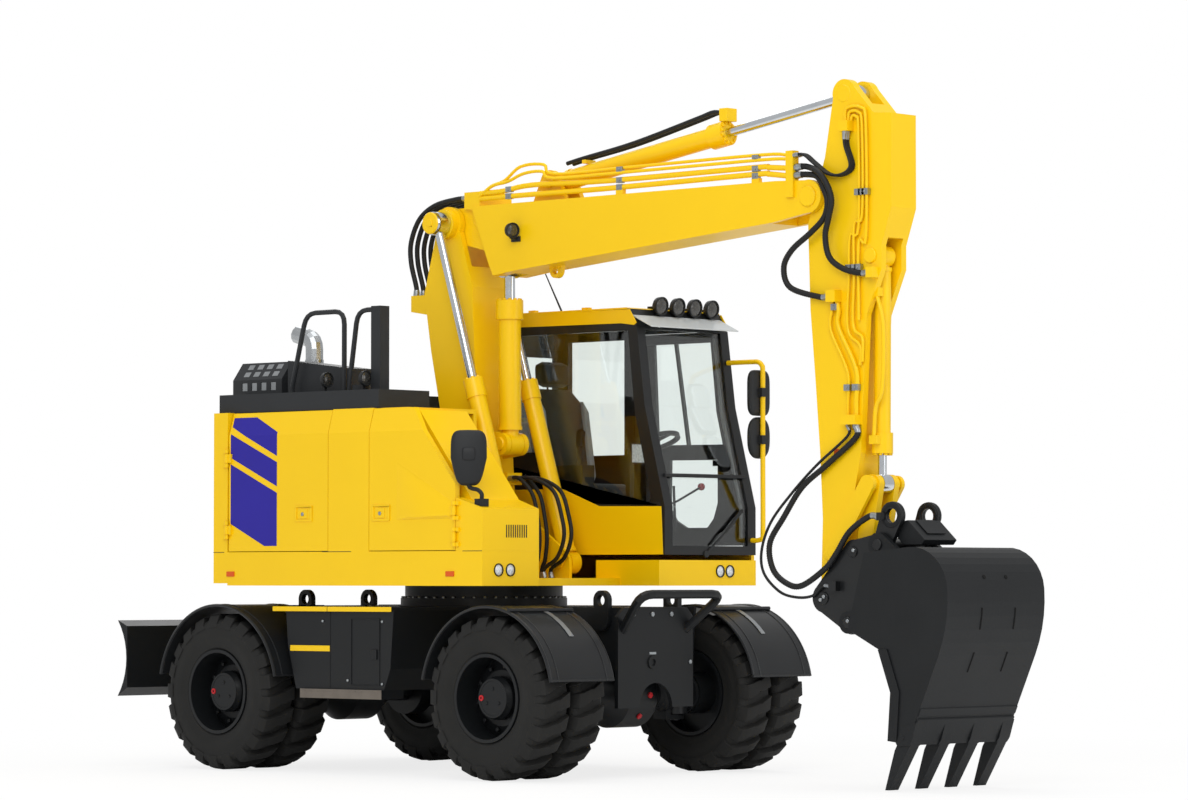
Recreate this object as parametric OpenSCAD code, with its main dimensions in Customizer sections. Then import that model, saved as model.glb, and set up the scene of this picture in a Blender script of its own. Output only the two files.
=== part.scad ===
// Wheeled excavator with a two-piece boom, twin tyres and a rear dozer blade.
// Millimetres. +X is forward, +Y is the machine's left and +Z is up.
// The origin lies on the ground below the middle of the machine's bounding box.

/* [Wheels] */
// Outer diameter of a tyre
tyre_d = 1055; // [1000:1:1090]
// Section width of one tyre
tyre_w = 278; // [250:1:290]
// Distance between the two tyres of a twin pair
twin_pitch = 318; // [310:1:330]
// Distance between the middles of the left and right pairs
track = 1954; // [1930:1:1956]
// Outer diameter of the rim seat
rim_d = 570; // [540:1:600]
// Distance between the axles
wheelbase = 2550; // [2500:1:2700]
// Front axle ahead of the slewing centre
front_axle_x = 1255; // [1220:1:1300]
// Diameter of the hub that shows inside the outer rim
hub_d = 280; // [240:1:320]

/* [Undercarriage] */
// Width of the main frame
frame_w = 640; // [560:1:650]
// Height of the main frame's top plate above the axles
frame_top = 578; // [570:1:620]
// Depth of the main frame
frame_h = 420; // [360:1:430]
// Radius of the slewing ring
slew_r = 535; // [480:1:560]
// Height of the slewing ring
slew_h = 140; // [100:1:160]
// Gap between fender and tyre
fender_gap = 50; // [40:1:60]
// Thickness of a fender
fender_t = 12; // [8:1:16]
// Height of the dozer blade
blade_h = 525; // [450:1:560]
// Width of the dozer blade
blade_w = 2530; // [2400:1:2540]

/* [Upper structure] */
// Width of the upper structure
upper_w = 2460; // [2400:1:2480]
// Radius of the counterweight's tail
tail_r = 1840; // [1790:1:1880]
// Thickness of the main deck
deck_t = 50; // [40:1:70]
// Height of the skirt round the deck
skirt_h = 225; // [200:1:240]
// Height of the housing above the deck's underside
housing_h = 1170; // [1120:1:1200]
// Thickness of a side door
door_t = 40; // [30:1:50]
// Height of the engine hood
hood_h = 125; // [100:1:150]

/* [Cab] */
// Right side of the cab, from the middle of the machine
cab_y0 = 280; // [270:1:300]
// Width of the cab
cab_w = 920; // [860:1:930]
// Height of the cab
cab_h = 1650; // [1600:1:1700]
// Thickness of the cab's walls
cab_wall = 50; // [40:1:60]
// Thickness of the window glass
glass_t = 8; // [6:1:12]

/* [Boom and arm] */
// Sideways place of the boom, from the middle of the machine
boom_y = -100; // [-120:1:-80]
// Half width of the booms
boom_half = 165; // [160:1:170]
// Half width of the arm
arm_half = 122; // [115:1:124]
// Gap at the sides of a pivot
side_gap = 5; // [4:0.5:6]
// Gap round a pin
pin_gap = 0.3; // [0.2:0.05:0.5]
// Radius of the large pivot pins
pin_r = 45; // [40:1:50]
// Radius of the small link pins
link_pin_r = 35; // [30:1:38]

/* [Bucket] */
// Half width of the bucket
bucket_half = 480; // [450:1:520]
// Thickness of the bucket's plates
bucket_t = 20; // [15:1:30]
// Number of teeth
teeth = 4; // [3:1:5]

/* [Hidden] */
$fn = 48;
yellow = "#e6a417";
charcoal = "#3c3f42";
black = "#1d1e20";
chrome = "#d9dce0";
glass = "#4a5a58";
white = "#ecebe4";

tyre_r = tyre_d / 2;
axle_z = tyre_r;
rear_axle_x = front_axle_x - wheelbase;
frame_z1 = axle_z + frame_top;
frame_z0 = frame_z1 - frame_h;
deck_z = frame_z1 + slew_h;
deck_top = deck_z + deck_t;
half_w = upper_w / 2;
skirt_z = deck_z + skirt_h;
housing_z = deck_z + housing_h;
hood_z = housing_z + hood_h;

// Link pins, as [x, z] from the slewing centre
boom_foot = [130, deck_z + 475];
boom_cyl_foot = [640, deck_z + 155];
knuckle = boom_foot + [-215, 1970];
adjust_foot = boom_foot + [215, 475];
adjust_eye = boom_foot + [205, 1670];
arm_cyl_foot = knuckle + [885, 240];
arm_pivot = knuckle + [3193, 5];
arm_eye = arm_pivot + [257, 633];
bucket_cyl_foot = arm_pivot + [472, -395];
tip = arm_pivot + [147, -2525];
lever_pivot = tip + [35, 290];
lever_joint = tip + [315, 710];
link_pin = tip + [240, 288];

// Rear dozer blade
blade_pivot = [rear_axle_x - 405, axle_z + 92];
blade_pin = blade_pivot + [-440, 160];
blade_back = blade_pin[0] - 180;

// Bucket back: heel arc, back arc and straight floor
heel = tip + [935, 40];
heel_r = 274;
back_r = 850;
heel_turn = 4;
floor_turn = -24;
back = heel - (back_r - heel_r) * [cos(heel_turn), sin(heel_turn)];
floor_len = 584;

// Slewing centre in the machine's frame
slew_x = -(heel[0] + heel_r + blade_back) / 2;

// Shared helpers

module from_slew() { translate([slew_x, 0, 0]) children(); }

// An outline drawn in X and Z, made solid from y0 to y1
module slab(y0, y1) { translate([0, y1, 0]) rotate([90, 0, 0]) linear_extrude(y1 - y0) children(); }

// The same outline on both sides of the boom's plane
module pair_slab(inner, outer) {
    for (y = [inner, -outer]) slab(boom_y + y, boom_y + y + outer - inner) children();
}

// An outline drawn in Y and Z, made solid from x0 to x1
module wall(x0, x1) { translate([x0, 0, 0]) rotate([90, 0, 90]) linear_extrude(x1 - x0) children(); }

module box(low, high) { translate(low) cube(high - low); }

// The same shape on the left and the right
module mirrored() {
    children();
    mirror([0, 1, 0]) children();
}

function unit(v) = v / norm(v);

// A flat link: two circles joined by straight sides, which lie just inside the tangents
// so that they cross the circles cleanly
link_sink = 0.5;
module link(p, rp, q, rq) {
    d = norm(q - p);
    turn = atan2(q[1] - p[1], q[0] - p[0]);
    lean = acos((rp - rq) / d);
    function rim(c, r, a) = c + (r - link_sink) * [cos(turn + a), sin(turn + a)];
    translate(p) circle(rp);
    translate(q) circle(rq);
    polygon([rim(p, rp, lean), rim(q, rq, lean), rim(q, rq, -lean), rim(p, rp, -lean)]);
}

module disc(p, r) { translate(p) circle(r); }

// A pin across the boom's plane, from y0 to y1 measured from that plane
module pin(p, r, y0, y1) { slab(boom_y + y0, boom_y + y1) disc(p, r); }

// Outline moved inward by t; its points run anticlockwise
function inset(points, t) = [
    for (i = [0 : len(points) - 1])
        let (
            n = len(points),
            a = unit(points[i] - points[(i + n - 1) % n]),
            b = unit(points[(i + 1) % n] - points[i]),
            na = [-a[1], a[0]],
            nb = [-b[1], b[0]]
        )
        points[i] + t * (na + nb) / (1 + na * nb)
];

// Points along an arc
function arc(c, r, a0, a1, steps) = [
    for (i = [0 : steps]) c + r * [cos(a0 + (a1 - a0) * i / steps), sin(a0 + (a1 - a0) * i / steps)]
];

// A bent path: each inner corner becomes a short curve
function bend(points, r, steps = 4) = concat(
    [points[0]],
    [
        for (i = [1 : len(points) - 2])
            let (
                p = points[i],
                before = points[i - 1] - p,
                after = points[i + 1] - p,
                back = min(r, 0.45 * norm(before), 0.45 * norm(after))
            )
            for (k = [0 : steps])
                let (t = k / steps)
                p + back * (unit(before) * (1 - t) * (1 - t) + unit(after) * t * t)
    ],
    [points[len(points) - 1]]
);

// Directions along a path, and a side direction carried along without twist
function path_ways(path) = [
    for (i = [0 : len(path) - 1])
        unit(path[min(i + 1, len(path) - 1)] - path[max(i - 1, 0)])
];
function carried(ways, side, i = 0) =
    i == len(ways) ? [] :
    let (flat = unit(side - (side * ways[i]) * ways[i]))
    concat([flat], carried(ways, flat, i + 1));

// A round tube along a path
module tube(path, r, sides = 8) {
    ways = path_ways(path);
    start = abs(ways[0][2]) < 0.9 ? [0, 0, 1] : [0, 1, 0];
    across = carried(ways, start);
    rings = [
        for (i = [0 : len(path) - 1])
            for (k = [0 : sides - 1])
                let (a = 360 * k / sides)
                path[i] + r * (cos(a) * across[i] + sin(a) * cross(ways[i], across[i]))
    ];
    last = len(path) - 1;
    sides_of = [
        for (i = [0 : last - 1])
            for (k = [0 : sides - 1])
                [i * sides + k, (i + 1) * sides + k, (i + 1) * sides + (k + 1) % sides,
                    i * sides + (k + 1) % sides]
    ];
    ends = [[for (k = [0 : sides - 1]) k], [for (k = [sides - 1 : -1 : 0]) last * sides + k]];
    polyhedron(rings, concat(sides_of, ends));
}

// Turns a shape made about Z so that its +Z points out to one side of the machine
module axle_line(x, side) { translate([x, 0, axle_z]) rotate([side > 0 ? -90 : 90, 0, 0]) children(); }

// Hydraulic cylinders, drawn in the boom's plane from the foot pin towards the rod's eye
module along(p, q) {
    translate([p[0], 0, p[1]]) rotate([0, 90 - atan2(q[1] - p[1], q[0] - p[0]), 0]) children();
}

// The tube starts at "clear" from the pin, outside the ears that hold the eye
module barrel(p, q, y, eye_r, eye_half, hole_r, clear, d, gland_d, length, rod_d) {
    difference() {
        union() {
            slab(y - eye_half, y + eye_half) disc(p, eye_r);
            translate([0, y, 0]) along(p, q) {
                cylinder(r = min(eye_half, d / 2) - 3, h = length);
                translate([0, 0, clear]) cylinder(d = d, h = length - clear);
                translate([0, 0, clear]) cylinder(d = d + 12, h = 25);
                translate([0, 0, length - 130]) cylinder(d = gland_d, h = 130);
            }
        }
        slab(y - eye_half - 1, y + eye_half + 1) disc(p, hole_r);
        translate([0, y, 0]) along(p, q) translate([0, 0, eye_r + 30])
            cylinder(d = rod_d + 2 * pin_gap, h = length);
    }
}

module rod(p, q, y, eye_r, eye_half, d, start) {
    slab(y - eye_half, y + eye_half) disc(q, eye_r);
    translate([0, y, 0]) along(p, q) translate([0, 0, start]) cylinder(d = d, h = norm(q - p) - start);
}

// Hinges of doors and hood: the frame has the pin and two short barrels, the door the barrel between them
hinge_r = 14;
hinge_pin_r = 7;
hinge_half = 30;
leaf_w = 40;

// Leaf from a hinge's line to the face of what it carries
module leaf(at, z0, z1, way, inward) {
    far = [at[0] + way * leaf_w, at[1] + inward * (hinge_r + 2)];
    box([min(at[0], far[0]), min(at[1], far[1]), z0], [max(at[0], far[0]), max(at[1], far[1]), z1]);
}

module door_hinge(at, z, way, inward) {
    difference() {
        union() {
            translate([at[0], at[1], z - hinge_half]) cylinder(r = hinge_r, h = 2 * hinge_half);
            leaf(at, z - hinge_half, z + hinge_half, way, inward);
        }
        translate([at[0], at[1], z - 2 * hinge_half])
            cylinder(r = hinge_pin_r + pin_gap, h = 4 * hinge_half);
    }
}

module frame_hinge(at, z, way, inward) {
    translate([at[0], at[1], z - 2 * hinge_half]) cylinder(r = hinge_pin_r, h = 4 * hinge_half);
    for (z0 = [z - 2 * hinge_half, z + hinge_half + side_gap]) {
        translate([at[0], at[1], z0]) cylinder(r = hinge_r, h = hinge_half - side_gap);
        leaf(at, z0, z0 + hinge_half - side_gap, way, inward);
    }
}

// Undercarriage

arch_r = tyre_r + fender_gap;
inner_tyre_y = (track - twin_pitch) / 2;
outer_tyre_y = (track + twin_pitch) / 2;
tyre_in = inner_tyre_y - tyre_w / 2;
tyre_out = outer_tyre_y + tyre_w / 2;
hub_in = tyre_in - 39;
kingpin_y = hub_in - 100;
kingpin_r = 32;
spindle_r = 70;
frame_half = frame_w / 2;
frame_front = front_axle_x + 290;
frame_rear = rear_axle_x - 200;
plate_t = 30;
plate_half = frame_half + 45;
plate_low = axle_z - 77;
lug_hole_r = 35;
lug_t = 40;
lug_r = 65;
lug_rise = 45;
ear_t = 20;
blade_arm_y = 205;
blade_arm_half = 33;
blade_cyl_y = 90;

module tie_down() {
    difference() {
        slab(-lug_t / 2, lug_t / 2) link([0, 0], lug_r, [0, -2 * lug_r], lug_r);
        slab(-lug_t, lug_t) disc([0, 0], lug_hole_r);
    }
}

// Bent tube across the front that serves as a step and guards the lamps
module step_bar() {
    bar_z = frame_z1 + 85;
    bar_x = frame_front + 265;
    foot = [frame_front + plate_t / 2, plate_half - 60, frame_z1 - 150];
    tube(bend([[foot[0], -foot[1], foot[2]], [bar_x, -400, bar_z], [bar_x, 400, bar_z], foot], 110), 30,
        10);
}

// Two ears on either side of a link that is 2 * half wide
module ears(y, half, p, rp, q, rq) {
    for (y0 = [y - half - side_gap / 2 - ear_t, y + half + side_gap / 2]) slab(y0, y0 + ear_t)
        link(p, rp, q, rq);
}

module chassis_frame() color(charcoal) from_slew() {
    difference() {
        union() {
            box([frame_rear, -frame_half, frame_z0], [frame_front, frame_half, frame_z1]);
            translate([0, 0, frame_z1 - turret_h]) cylinder(r = slew_r + turret_lip, h = turret_h);
            wall(frame_front, frame_front + plate_t) difference() {
                polygon([[-plate_half, plate_low], [plate_half, plate_low], [plate_half, frame_z1 - 60],
                    [plate_half - 60, frame_z1], [60 - plate_half, frame_z1],
                        [-plate_half, frame_z1 - 60]]);
                translate([0, plate_low]) circle(160);
            }
            step_bar();
            mirrored() {
                translate([frame_front - 2 * lug_r, frame_half + lug_t / 2,
                    frame_z1 + lug_rise]) tie_down();
                translate([frame_rear + lug_r, frame_half - lug_t / 2, frame_z1 + lug_rise]) tie_down();
                ears(blade_arm_y, blade_arm_half, blade_pivot, 65, [frame_rear + 60, frame_z0 + 60], 60);
                ears(blade_cyl_y, blade_cyl_half, blade_cyl_foot, 45,
                    [frame_rear + 50, blade_cyl_foot[1]], 50);
            }
        }
        for (x = [front_axle_x, rear_axle_x])
            translate([x, 0, axle_z]) rotate([90, 0, 0])
                cylinder(r = axle_room, h = 2 * frame_w, center = true);
    }
    mirrored() {
        slab(blade_arm_y - blade_arm_half - 10, blade_arm_y + blade_arm_half + 10)
            disc(blade_pivot, link_pin_r);
        slab(blade_cyl_y - blade_cyl_half - 10, blade_cyl_y + blade_cyl_half + 10)
            disc(blade_cyl_foot, blade_cyl_pin_r);
    }
}

axle_room = 240;
turret_h = 60;
turret_lip = 40;
box_out = 1200;
box_front = front_axle_x - 955;
box_rear = rear_axle_x + 595;
box_low = axle_z + 33;
step_z = axle_z + 12;
strip_h = 20;

module side_boxes() color(charcoal) from_slew() mirrored() difference() {
    union() {
        slab(frame_half, box_out - 20)
            polygon([[box_rear, frame_z1 - strip_h], [box_rear + 20, box_low + 290],
                [box_rear + 100, box_low],
            [box_front - 60, box_low], [box_front, box_low + 140], [box_front + 30, frame_z1 - strip_h]]);
        box([box_rear - 110, frame_half, frame_z1 - strip_h - 1], [box_front + 30, box_out, frame_z1]);
        box([box_rear + 160, box_out - 200, step_z - 40], [box_front - 60, box_out, box_low + 1]);
    }
    translate([0, 0, frame_z1 - turret_h]) cylinder(r = slew_r + turret_lip, h = 2 * turret_h);
}

module slew_bearing() color(black) from_slew() translate([0, 0, frame_z1]) difference() {
    union() {
        cylinder(r = slew_r, h = slew_h);
        cylinder(r = slew_r + 30, h = 0.4 * slew_h);
    }
    translate([0, 0, -1]) cylinder(r = slew_r - 90, h = slew_h + 2);
}

// Axle housing revolved about the axle's line
tube_r = 95;
bulge_r = 215;
cap_r = 120;

module axle_body(end) {
    rotate_extrude() polygon([[0, -end], [cap_r, -end], [cap_r, 60 - end], [tube_r, 80 - end],
        [tube_r, -300],
        [bulge_r, -130], [bulge_r, 130], [tube_r, 300], [tube_r, end - 80], [cap_r, end - 60],
            [cap_r, end], [0, end]]);
}

// Blocks that carry the frame on an axle
module saddles(x, y, half) {
    difference() {
        mirrored() box([x - 110, y - half, axle_z], [x + 110, y + half, axle_z + axle_room + 30]);
        box([x - 400, -frame_half - 1, frame_z0], [x + 400, frame_half + 1, frame_z1]);
    }
    intersection() {
        mirrored() box([x - 110, y - half, frame_z0], [x + 110, y + half, axle_z + axle_room]);
        translate([x, 0, axle_z]) rotate([90, 0, 0])
            cylinder(r = axle_room, h = 2 * frame_w, center = true);
    }
}

module rear_axle() color(charcoal) from_slew() {
    axle_line(rear_axle_x, 1) axle_body(hub_in - side_gap);
    for (side = [1, -1]) axle_line(rear_axle_x, side) {
        translate([0, 0, hub_in - 130]) cylinder(r = 190, h = 130 - side_gap);
        translate([0, 0, hub_in - side_gap - 1]) cylinder(r = spindle_r, h = 70);
    }
    saddles(rear_axle_x, frame_half - 60, 50);
}

yoke_in = 150;
yoke_t = 45;
yoke_half = 170;
yoke_ear = 30;
yoke_r = 60;

module front_axle() color(charcoal) from_slew() {
    difference() {
        union() {
            axle_line(front_axle_x, 1) axle_body(kingpin_y - yoke_in + yoke_t);
            mirrored() {
                box([front_axle_x - yoke_r, kingpin_y - yoke_in, axle_z - yoke_half],
                    [front_axle_x + yoke_r, kingpin_y - yoke_in + yoke_t, axle_z + yoke_half]);
                for (z = [axle_z - yoke_half, axle_z + yoke_half - yoke_ear])
                    translate([front_axle_x, kingpin_y, z]) {
                    cylinder(r = yoke_r, h = yoke_ear);
                    translate([-yoke_r, -yoke_in, 0]) cube([2 * yoke_r, yoke_in, yoke_ear]);
                }
            }
            saddles(front_axle_x, 100, 60);
        }
        mirrored() translate([front_axle_x, kingpin_y, 0])
            cylinder(r = kingpin_r + pin_gap, h = 2 * axle_z);
    }
}

fender_low = 11;
fender_in = tyre_in;
fender_out = tyre_out - 8;

// Arched fender over a twin pair, about the wheel's axle
module fender(x) {
    axle_line(x, 1) rotate([0, 0, 180 + fender_low]) rotate_extrude(angle = 180 - 2 * fender_low)
        translate([arch_r, fender_in]) square([fender_t, fender_out - fender_in]);
}

module rear_fenders() color(black) from_slew() mirrored() {
    fender(rear_axle_x);
    box([rear_axle_x - 60, frame_half, axle_z + arch_r - 15],
        [rear_axle_x + 60, fender_in + 60, axle_z + arch_r + 5]);
}

module knuckle() {
    translate([front_axle_x, kingpin_y, axle_z]) {
        cylinder(r = 85, h = 2 * (yoke_half - yoke_ear - side_gap), center = true);
        cylinder(r = kingpin_r, h = 2 * yoke_half + 20, center = true);
    }
    axle_line(front_axle_x, 1) {
        translate([0, 0, kingpin_y]) cylinder(r = 75, h = hub_in - kingpin_y - side_gap);
        translate([0, 0, kingpin_y + yoke_r + 10])
            cylinder(r = 130, h = hub_in - kingpin_y - yoke_r - 10 - side_gap);
        translate([0, 0, hub_in - side_gap - 1]) cylinder(r = spindle_r, h = 70);
    }
    // Stay that carries the fender
    slab(hub_in - 25, hub_in - side_gap) polygon([[front_axle_x - 60, axle_z], [front_axle_x + 60, axle_z],
        [front_axle_x + 110, axle_z + arch_r], [front_axle_x - 110, axle_z + arch_r]]);
    box([front_axle_x - 60, hub_in - 25, axle_z + arch_r - 8],
        [front_axle_x + 60, fender_in + 60, axle_z + arch_r + 5]);
    fender(front_axle_x);
}

module knuckle_left() color(charcoal) from_slew() knuckle();
module knuckle_right() color(charcoal) from_slew() mirror([0, 1, 0]) knuckle();

module transmission() color(charcoal) from_slew() {
    low = frame_z0 - 150;
    shaft_z = frame_z0 - 90;
    shaft_r = 45;
    box([-420, -230, low], [150, 230, frame_z0]);
    translate([149, 0, shaft_z]) rotate([0, 90, 0])
        cylinder(r = shaft_r, h = front_axle_x - bulge_r - 149 - 8);
    translate([-419, 0, shaft_z]) rotate([0, -90, 0])
        cylinder(r = shaft_r, h = -rear_axle_x - bulge_r - 419 - 8);
}

// Twin tyres and their rims

lug_depth = 30;
lug_len = 96;
lug_sweep = 14;
lugs = 18;
carcass_r = tyre_r - lug_depth;
// Flat tops whose corners reach the tyre's outer diameter
lug_top = sqrt(tyre_r * tyre_r - lug_len * lug_len / 4);

function tyre_section(r0, r1, w) = [
    [r0, -w / 2 + 25], [r0 + 60, -w / 2], [r1 - 75, -w / 2], [r1 - 12, -w / 2 + 22], [r1, -w / 2 + 55],
    [r1, w / 2 - 55], [r1 - 12, w / 2 - 22], [r1 - 75, w / 2], [r0 + 60, w / 2], [r0, w / 2 - 25]
];

// Half of a tyre's lugs: from one shoulder to just past the middle of the tread
module lug_row(row) {
    for (i = [0 : lugs - 1])
        rotate([0, 0, 360 * (i + (row > 0 ? 0 : 0.5)) / lugs])
            translate([carcass_r - 20, 0, row * tyre_w / 4]) rotate([row * lug_sweep, 0, 0])
                translate([0, -lug_len / 2, -tyre_w / 4 + 4])
                    cube([lug_top - carcass_r + 20, lug_len, tyre_w / 2 - 8]);
}

module tyres(x) {
    axle_line(x, 1) for (y = [inner_tyre_y, outer_tyre_y]) translate([0, 0, y]) {
        rotate_extrude() polygon(tyre_section(rim_d / 2 + pin_gap, carcass_r, tyre_w));
        for (row = [1, -1]) lug_row(row);
    }
}

rim_t = 22;

module rims(x) {
    rim_r = rim_d / 2;
    hub_r = hub_d / 2;
    hub_face = tyre_out - 75;
    axle_line(x, 1) difference() {
        rotate_extrude() polygon([
            [0, hub_in], [hub_r, hub_in], [hub_r, inner_tyre_y - 20], [rim_r - rim_t, inner_tyre_y - 20],
            [rim_r - rim_t, tyre_in + 12], [rim_r, tyre_in + 12], [rim_r, tyre_out - 12],
            [rim_r - rim_t, tyre_out - 12], [rim_r - rim_t, outer_tyre_y - 60],
                [hub_r + 40, outer_tyre_y - 20],
            [hub_r, outer_tyre_y - 20], [hub_r, hub_face - 40], [hub_r - 30, hub_face], [0, hub_face]
        ]);
        translate([0, 0, hub_in - 1]) cylinder(r = spindle_r + pin_gap, h = 75);
    }
}

module tyres_front_left() color(black) from_slew() tyres(front_axle_x);
module tyres_front_right() color(black) from_slew() mirror([0, 1, 0]) tyres(front_axle_x);
module tyres_rear_left() color(black) from_slew() tyres(rear_axle_x);
module tyres_rear_right() color(black) from_slew() mirror([0, 1, 0]) tyres(rear_axle_x);
module rims_front_left() color(charcoal) from_slew() rims(front_axle_x);
module rims_front_right() color(charcoal) from_slew() mirror([0, 1, 0]) rims(front_axle_x);
module rims_rear_left() color(charcoal) from_slew() rims(rear_axle_x);
module rims_rear_right() color(charcoal) from_slew() mirror([0, 1, 0]) rims(rear_axle_x);

// Dozer blade

blade_low = blade_pin[1] - 300;
blade_front = blade_pin[0] - 75;
blade_cyl_half = 25;
blade_cyl_pin_r = 20;
blade_cyl_foot = [frame_rear - 75, frame_z1 - 130];
blade_cyl_eye = blade_pivot + [-290, 186];

module blade_arms() color(charcoal) from_slew() {
    mirrored() difference() {
        slab(blade_arm_y - blade_arm_half, blade_arm_y + blade_arm_half)
            link(blade_pivot, 60, blade_pin, 55);
        for (p = [blade_pivot, blade_pin]) slab(0, 2 * blade_arm_y) disc(p, link_pin_r + pin_gap);
    }
    // Cross tube with the lugs that the cylinders push on
    middle = blade_pivot + 0.62 * (blade_pin - blade_pivot);
    slab(-blade_arm_y, blade_arm_y) disc(middle, 40);
}

module blade() color(charcoal) from_slew() {
    slab(-blade_w / 2, blade_w / 2) polygon(concat(
        [[blade_front, blade_low + 60], [blade_front, blade_low + blade_h - 40]],
        arc([blade_back - 335, blade_low + blade_h / 2], 430, 37.5, -37.5, 10)));
    mirrored() {
        ears(blade_arm_y, blade_arm_half, blade_pin, 60, [blade_front - 20, blade_pin[1]], 90);
        slab(blade_arm_y - blade_arm_half - 10, blade_arm_y + blade_arm_half + 10)
            disc(blade_pin, link_pin_r);
    }
}

module blade_cylinder_barrels() color(charcoal) from_slew() for (y = [blade_cyl_y, -blade_cyl_y])
    barrel(blade_cyl_foot, blade_cyl_eye, y, 42, blade_cyl_half, blade_cyl_pin_r + pin_gap, 60, 80, 90,
        378, 40);

module blade_cylinder_rods() color(chrome) from_slew() for (y = [blade_cyl_y, -blade_cyl_y])
    rod(blade_cyl_foot, blade_cyl_eye, y, 38, blade_cyl_half, 40, 97);

// Upper structure

cw_x = -1230;
bay_rear = -560;
bracket_t = 25;
bracket_in = boom_half + side_gap;
bracket_out = bracket_in + bracket_t;
skirt_t = 30;
deck_front = 1050;
box_x = 1190;
box_in = -705;
sill_x = 830;
seat_gap = 0.3;
cab_front = 1400;
engine_y = 520;

module upper_frame() color(yellow) from_slew() {
    box([cw_x, -half_w + skirt_t, deck_z], [deck_front, half_w - skirt_t, deck_top]);
    box([deck_front - 1, cab_y0, deck_z], [cab_front - 40, half_w - skirt_t, deck_top]);
    // Boom brackets
    pair_slab(bracket_in, bracket_out) {
        link(boom_foot, 120, boom_cyl_foot, 90);
        polygon([[-420, deck_top - 1], [boom_cyl_foot[0] + 90, deck_top - 1], boom_cyl_foot + [90, 0],
            boom_foot + [0, 60], boom_foot + [-110, 20]]);
    }
    pin(boom_foot, pin_r, -bracket_out, bracket_out);
    pair_slab(bracket_in - 20, cyl_out + 25) disc(boom_cyl_foot, cyl_pin_r);
    pair_slab(bracket_out - 1, cyl_in - 2) disc(boom_cyl_foot, cyl_pin_r + 10);
    pair_slab(cyl_out + 2, cyl_out + 25) disc(boom_cyl_foot, cyl_pin_r + 10);
    // Skirts along the sides, a block at the right front corner and a sill under the cab
    box([cw_x, -half_w, deck_z], [front_door[1], skirt_t - half_w, skirt_z]);
    box([front_door[1] - 1, -half_w, deck_z], [box_x, box_in, skirt_z - seat_gap]);
    box([sill_x, cab_y0 - 55, deck_z], [cab_front, half_w - skirt_t + 1, cab_z0 - 35]);
    box([cw_x, half_w - skirt_t, deck_z], [cab_front - 40, half_w, skirt_z]);
}

module counterweight() color(yellow) from_slew() {
    intersection() {
        translate([0, 0, deck_z + 15]) cylinder(r = tail_r, h = housing_z - deck_z - 15, $fn = 96);
        box([-tail_r - 1, -half_w, deck_z], [cw_x, half_w, housing_z]);
    }
    mirrored() for (z = side_hinges) frame_hinge(rear_hinge, z, -1, 1);
    for (y = hood_hinge_y) {
        slab(y - 2 * hinge_half, y + 2 * hinge_half) disc(hood_hinge, hinge_pin_r);
        for (y0 = [y - 2 * hinge_half, y + hinge_half + side_gap]) slab(y0, y0 + hinge_half - side_gap) {
            disc(hood_hinge, hinge_r);
            translate([hood_hinge[0] - hinge_r, housing_z - 1]) square([2 * hinge_r, hinge_r + 3]);
        }
    }
}

module engine() color(charcoal) from_slew()
    box([cw_x + 60, -engine_y, deck_top], [bay_rear - 40, engine_y, deck_top + 850]);

rear_door = [cw_x + 15, -245];
post = [-240, 145];
front_door = [150, 945];
crease_z = housing_z - 160;
lean = 45;
hinge_y = half_w + hinge_r + 1;
rear_hinge = [cw_x + 7, -hinge_y];
front_hinge = [front_door[1] + side_gap / 2, -hinge_y];
side_hinges = [skirt_z + 150, crease_z - 150];
low_hinges = [skirt_z + 90, skirt_z + 260];

// Section of the housing's side, with the upper part leaning in
function side_section(t, z0, z1) = [
    [-half_w, z0], [-half_w, crease_z], [-half_w + lean, z1], [-half_w + lean + t, z1],
        [-half_w + t, crease_z],
    [-half_w + t, z0]
];

module housing_panels() color(yellow) from_slew() {
    wall(post[0], post[1]) polygon(side_section(door_t, skirt_z, housing_z));
    // Walls round the boom's bay
    wall_y = boom_y - cyl_out - 90;
    left_y = cab_y0 - 60;
    box([bay_rear, wall_y - 30, deck_top], [420, wall_y, housing_z - 30]);
    box([bay_rear, wall_y - 1, deck_top], [bay_rear + 30, left_y + 30, housing_z - 30]);
    box([bay_rear, left_y, deck_top], [-420, left_y + 30, housing_z - 30]);
    // Top deck round the hood
    deck_y = half_w - lean - door_t - 2;
    box([cw_x, -deck_y, housing_z - 30], [420, wall_y, housing_z]);
    box([cw_x, wall_y - 1, housing_z - 30], [bay_rear + 30, left_y + 30, housing_z]);
    box([cw_x, left_y, housing_z - 30], [-420, deck_y, housing_z]);
}

box_top = skirt_z + 275;

module front_box() color(yellow) from_slew() {
    slab(-half_w + lean + door_t + 2, box_in) polygon([[420, skirt_z], [box_x, skirt_z], [box_x, box_top],
        [1010, box_top + 60], [530, housing_z - 20], [420, housing_z - 20]]);
    slab(-half_w, -half_w + lean + door_t + 3)
        polygon([[front_door[1] + side_gap, skirt_z], [box_x, skirt_z],
        [box_x, box_top], [front_door[1] + side_gap, box_top + 70]]);
    for (z = low_hinges) frame_hinge(front_hinge, z, 1, 1);
}

trim_in = -half_w + 530;
guard_x = [cw_x - 250, cw_x + 240];
guard_y = -half_w + 275;
guard_h = 230;
guard_t = 15;
guard_hole = 55;
guard_pitch = 95;

// Section of the guard in Y and Z: upright, then leaning in to a flat top
function guard_section(t) = [
    [guard_y + t, hood_z - 1], [guard_y + t, hood_z + 110], [guard_y + 90 + t, hood_z + guard_h - t],
    [trim_in - t, hood_z + guard_h - t], [trim_in - t, hood_z - 1]
];

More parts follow.
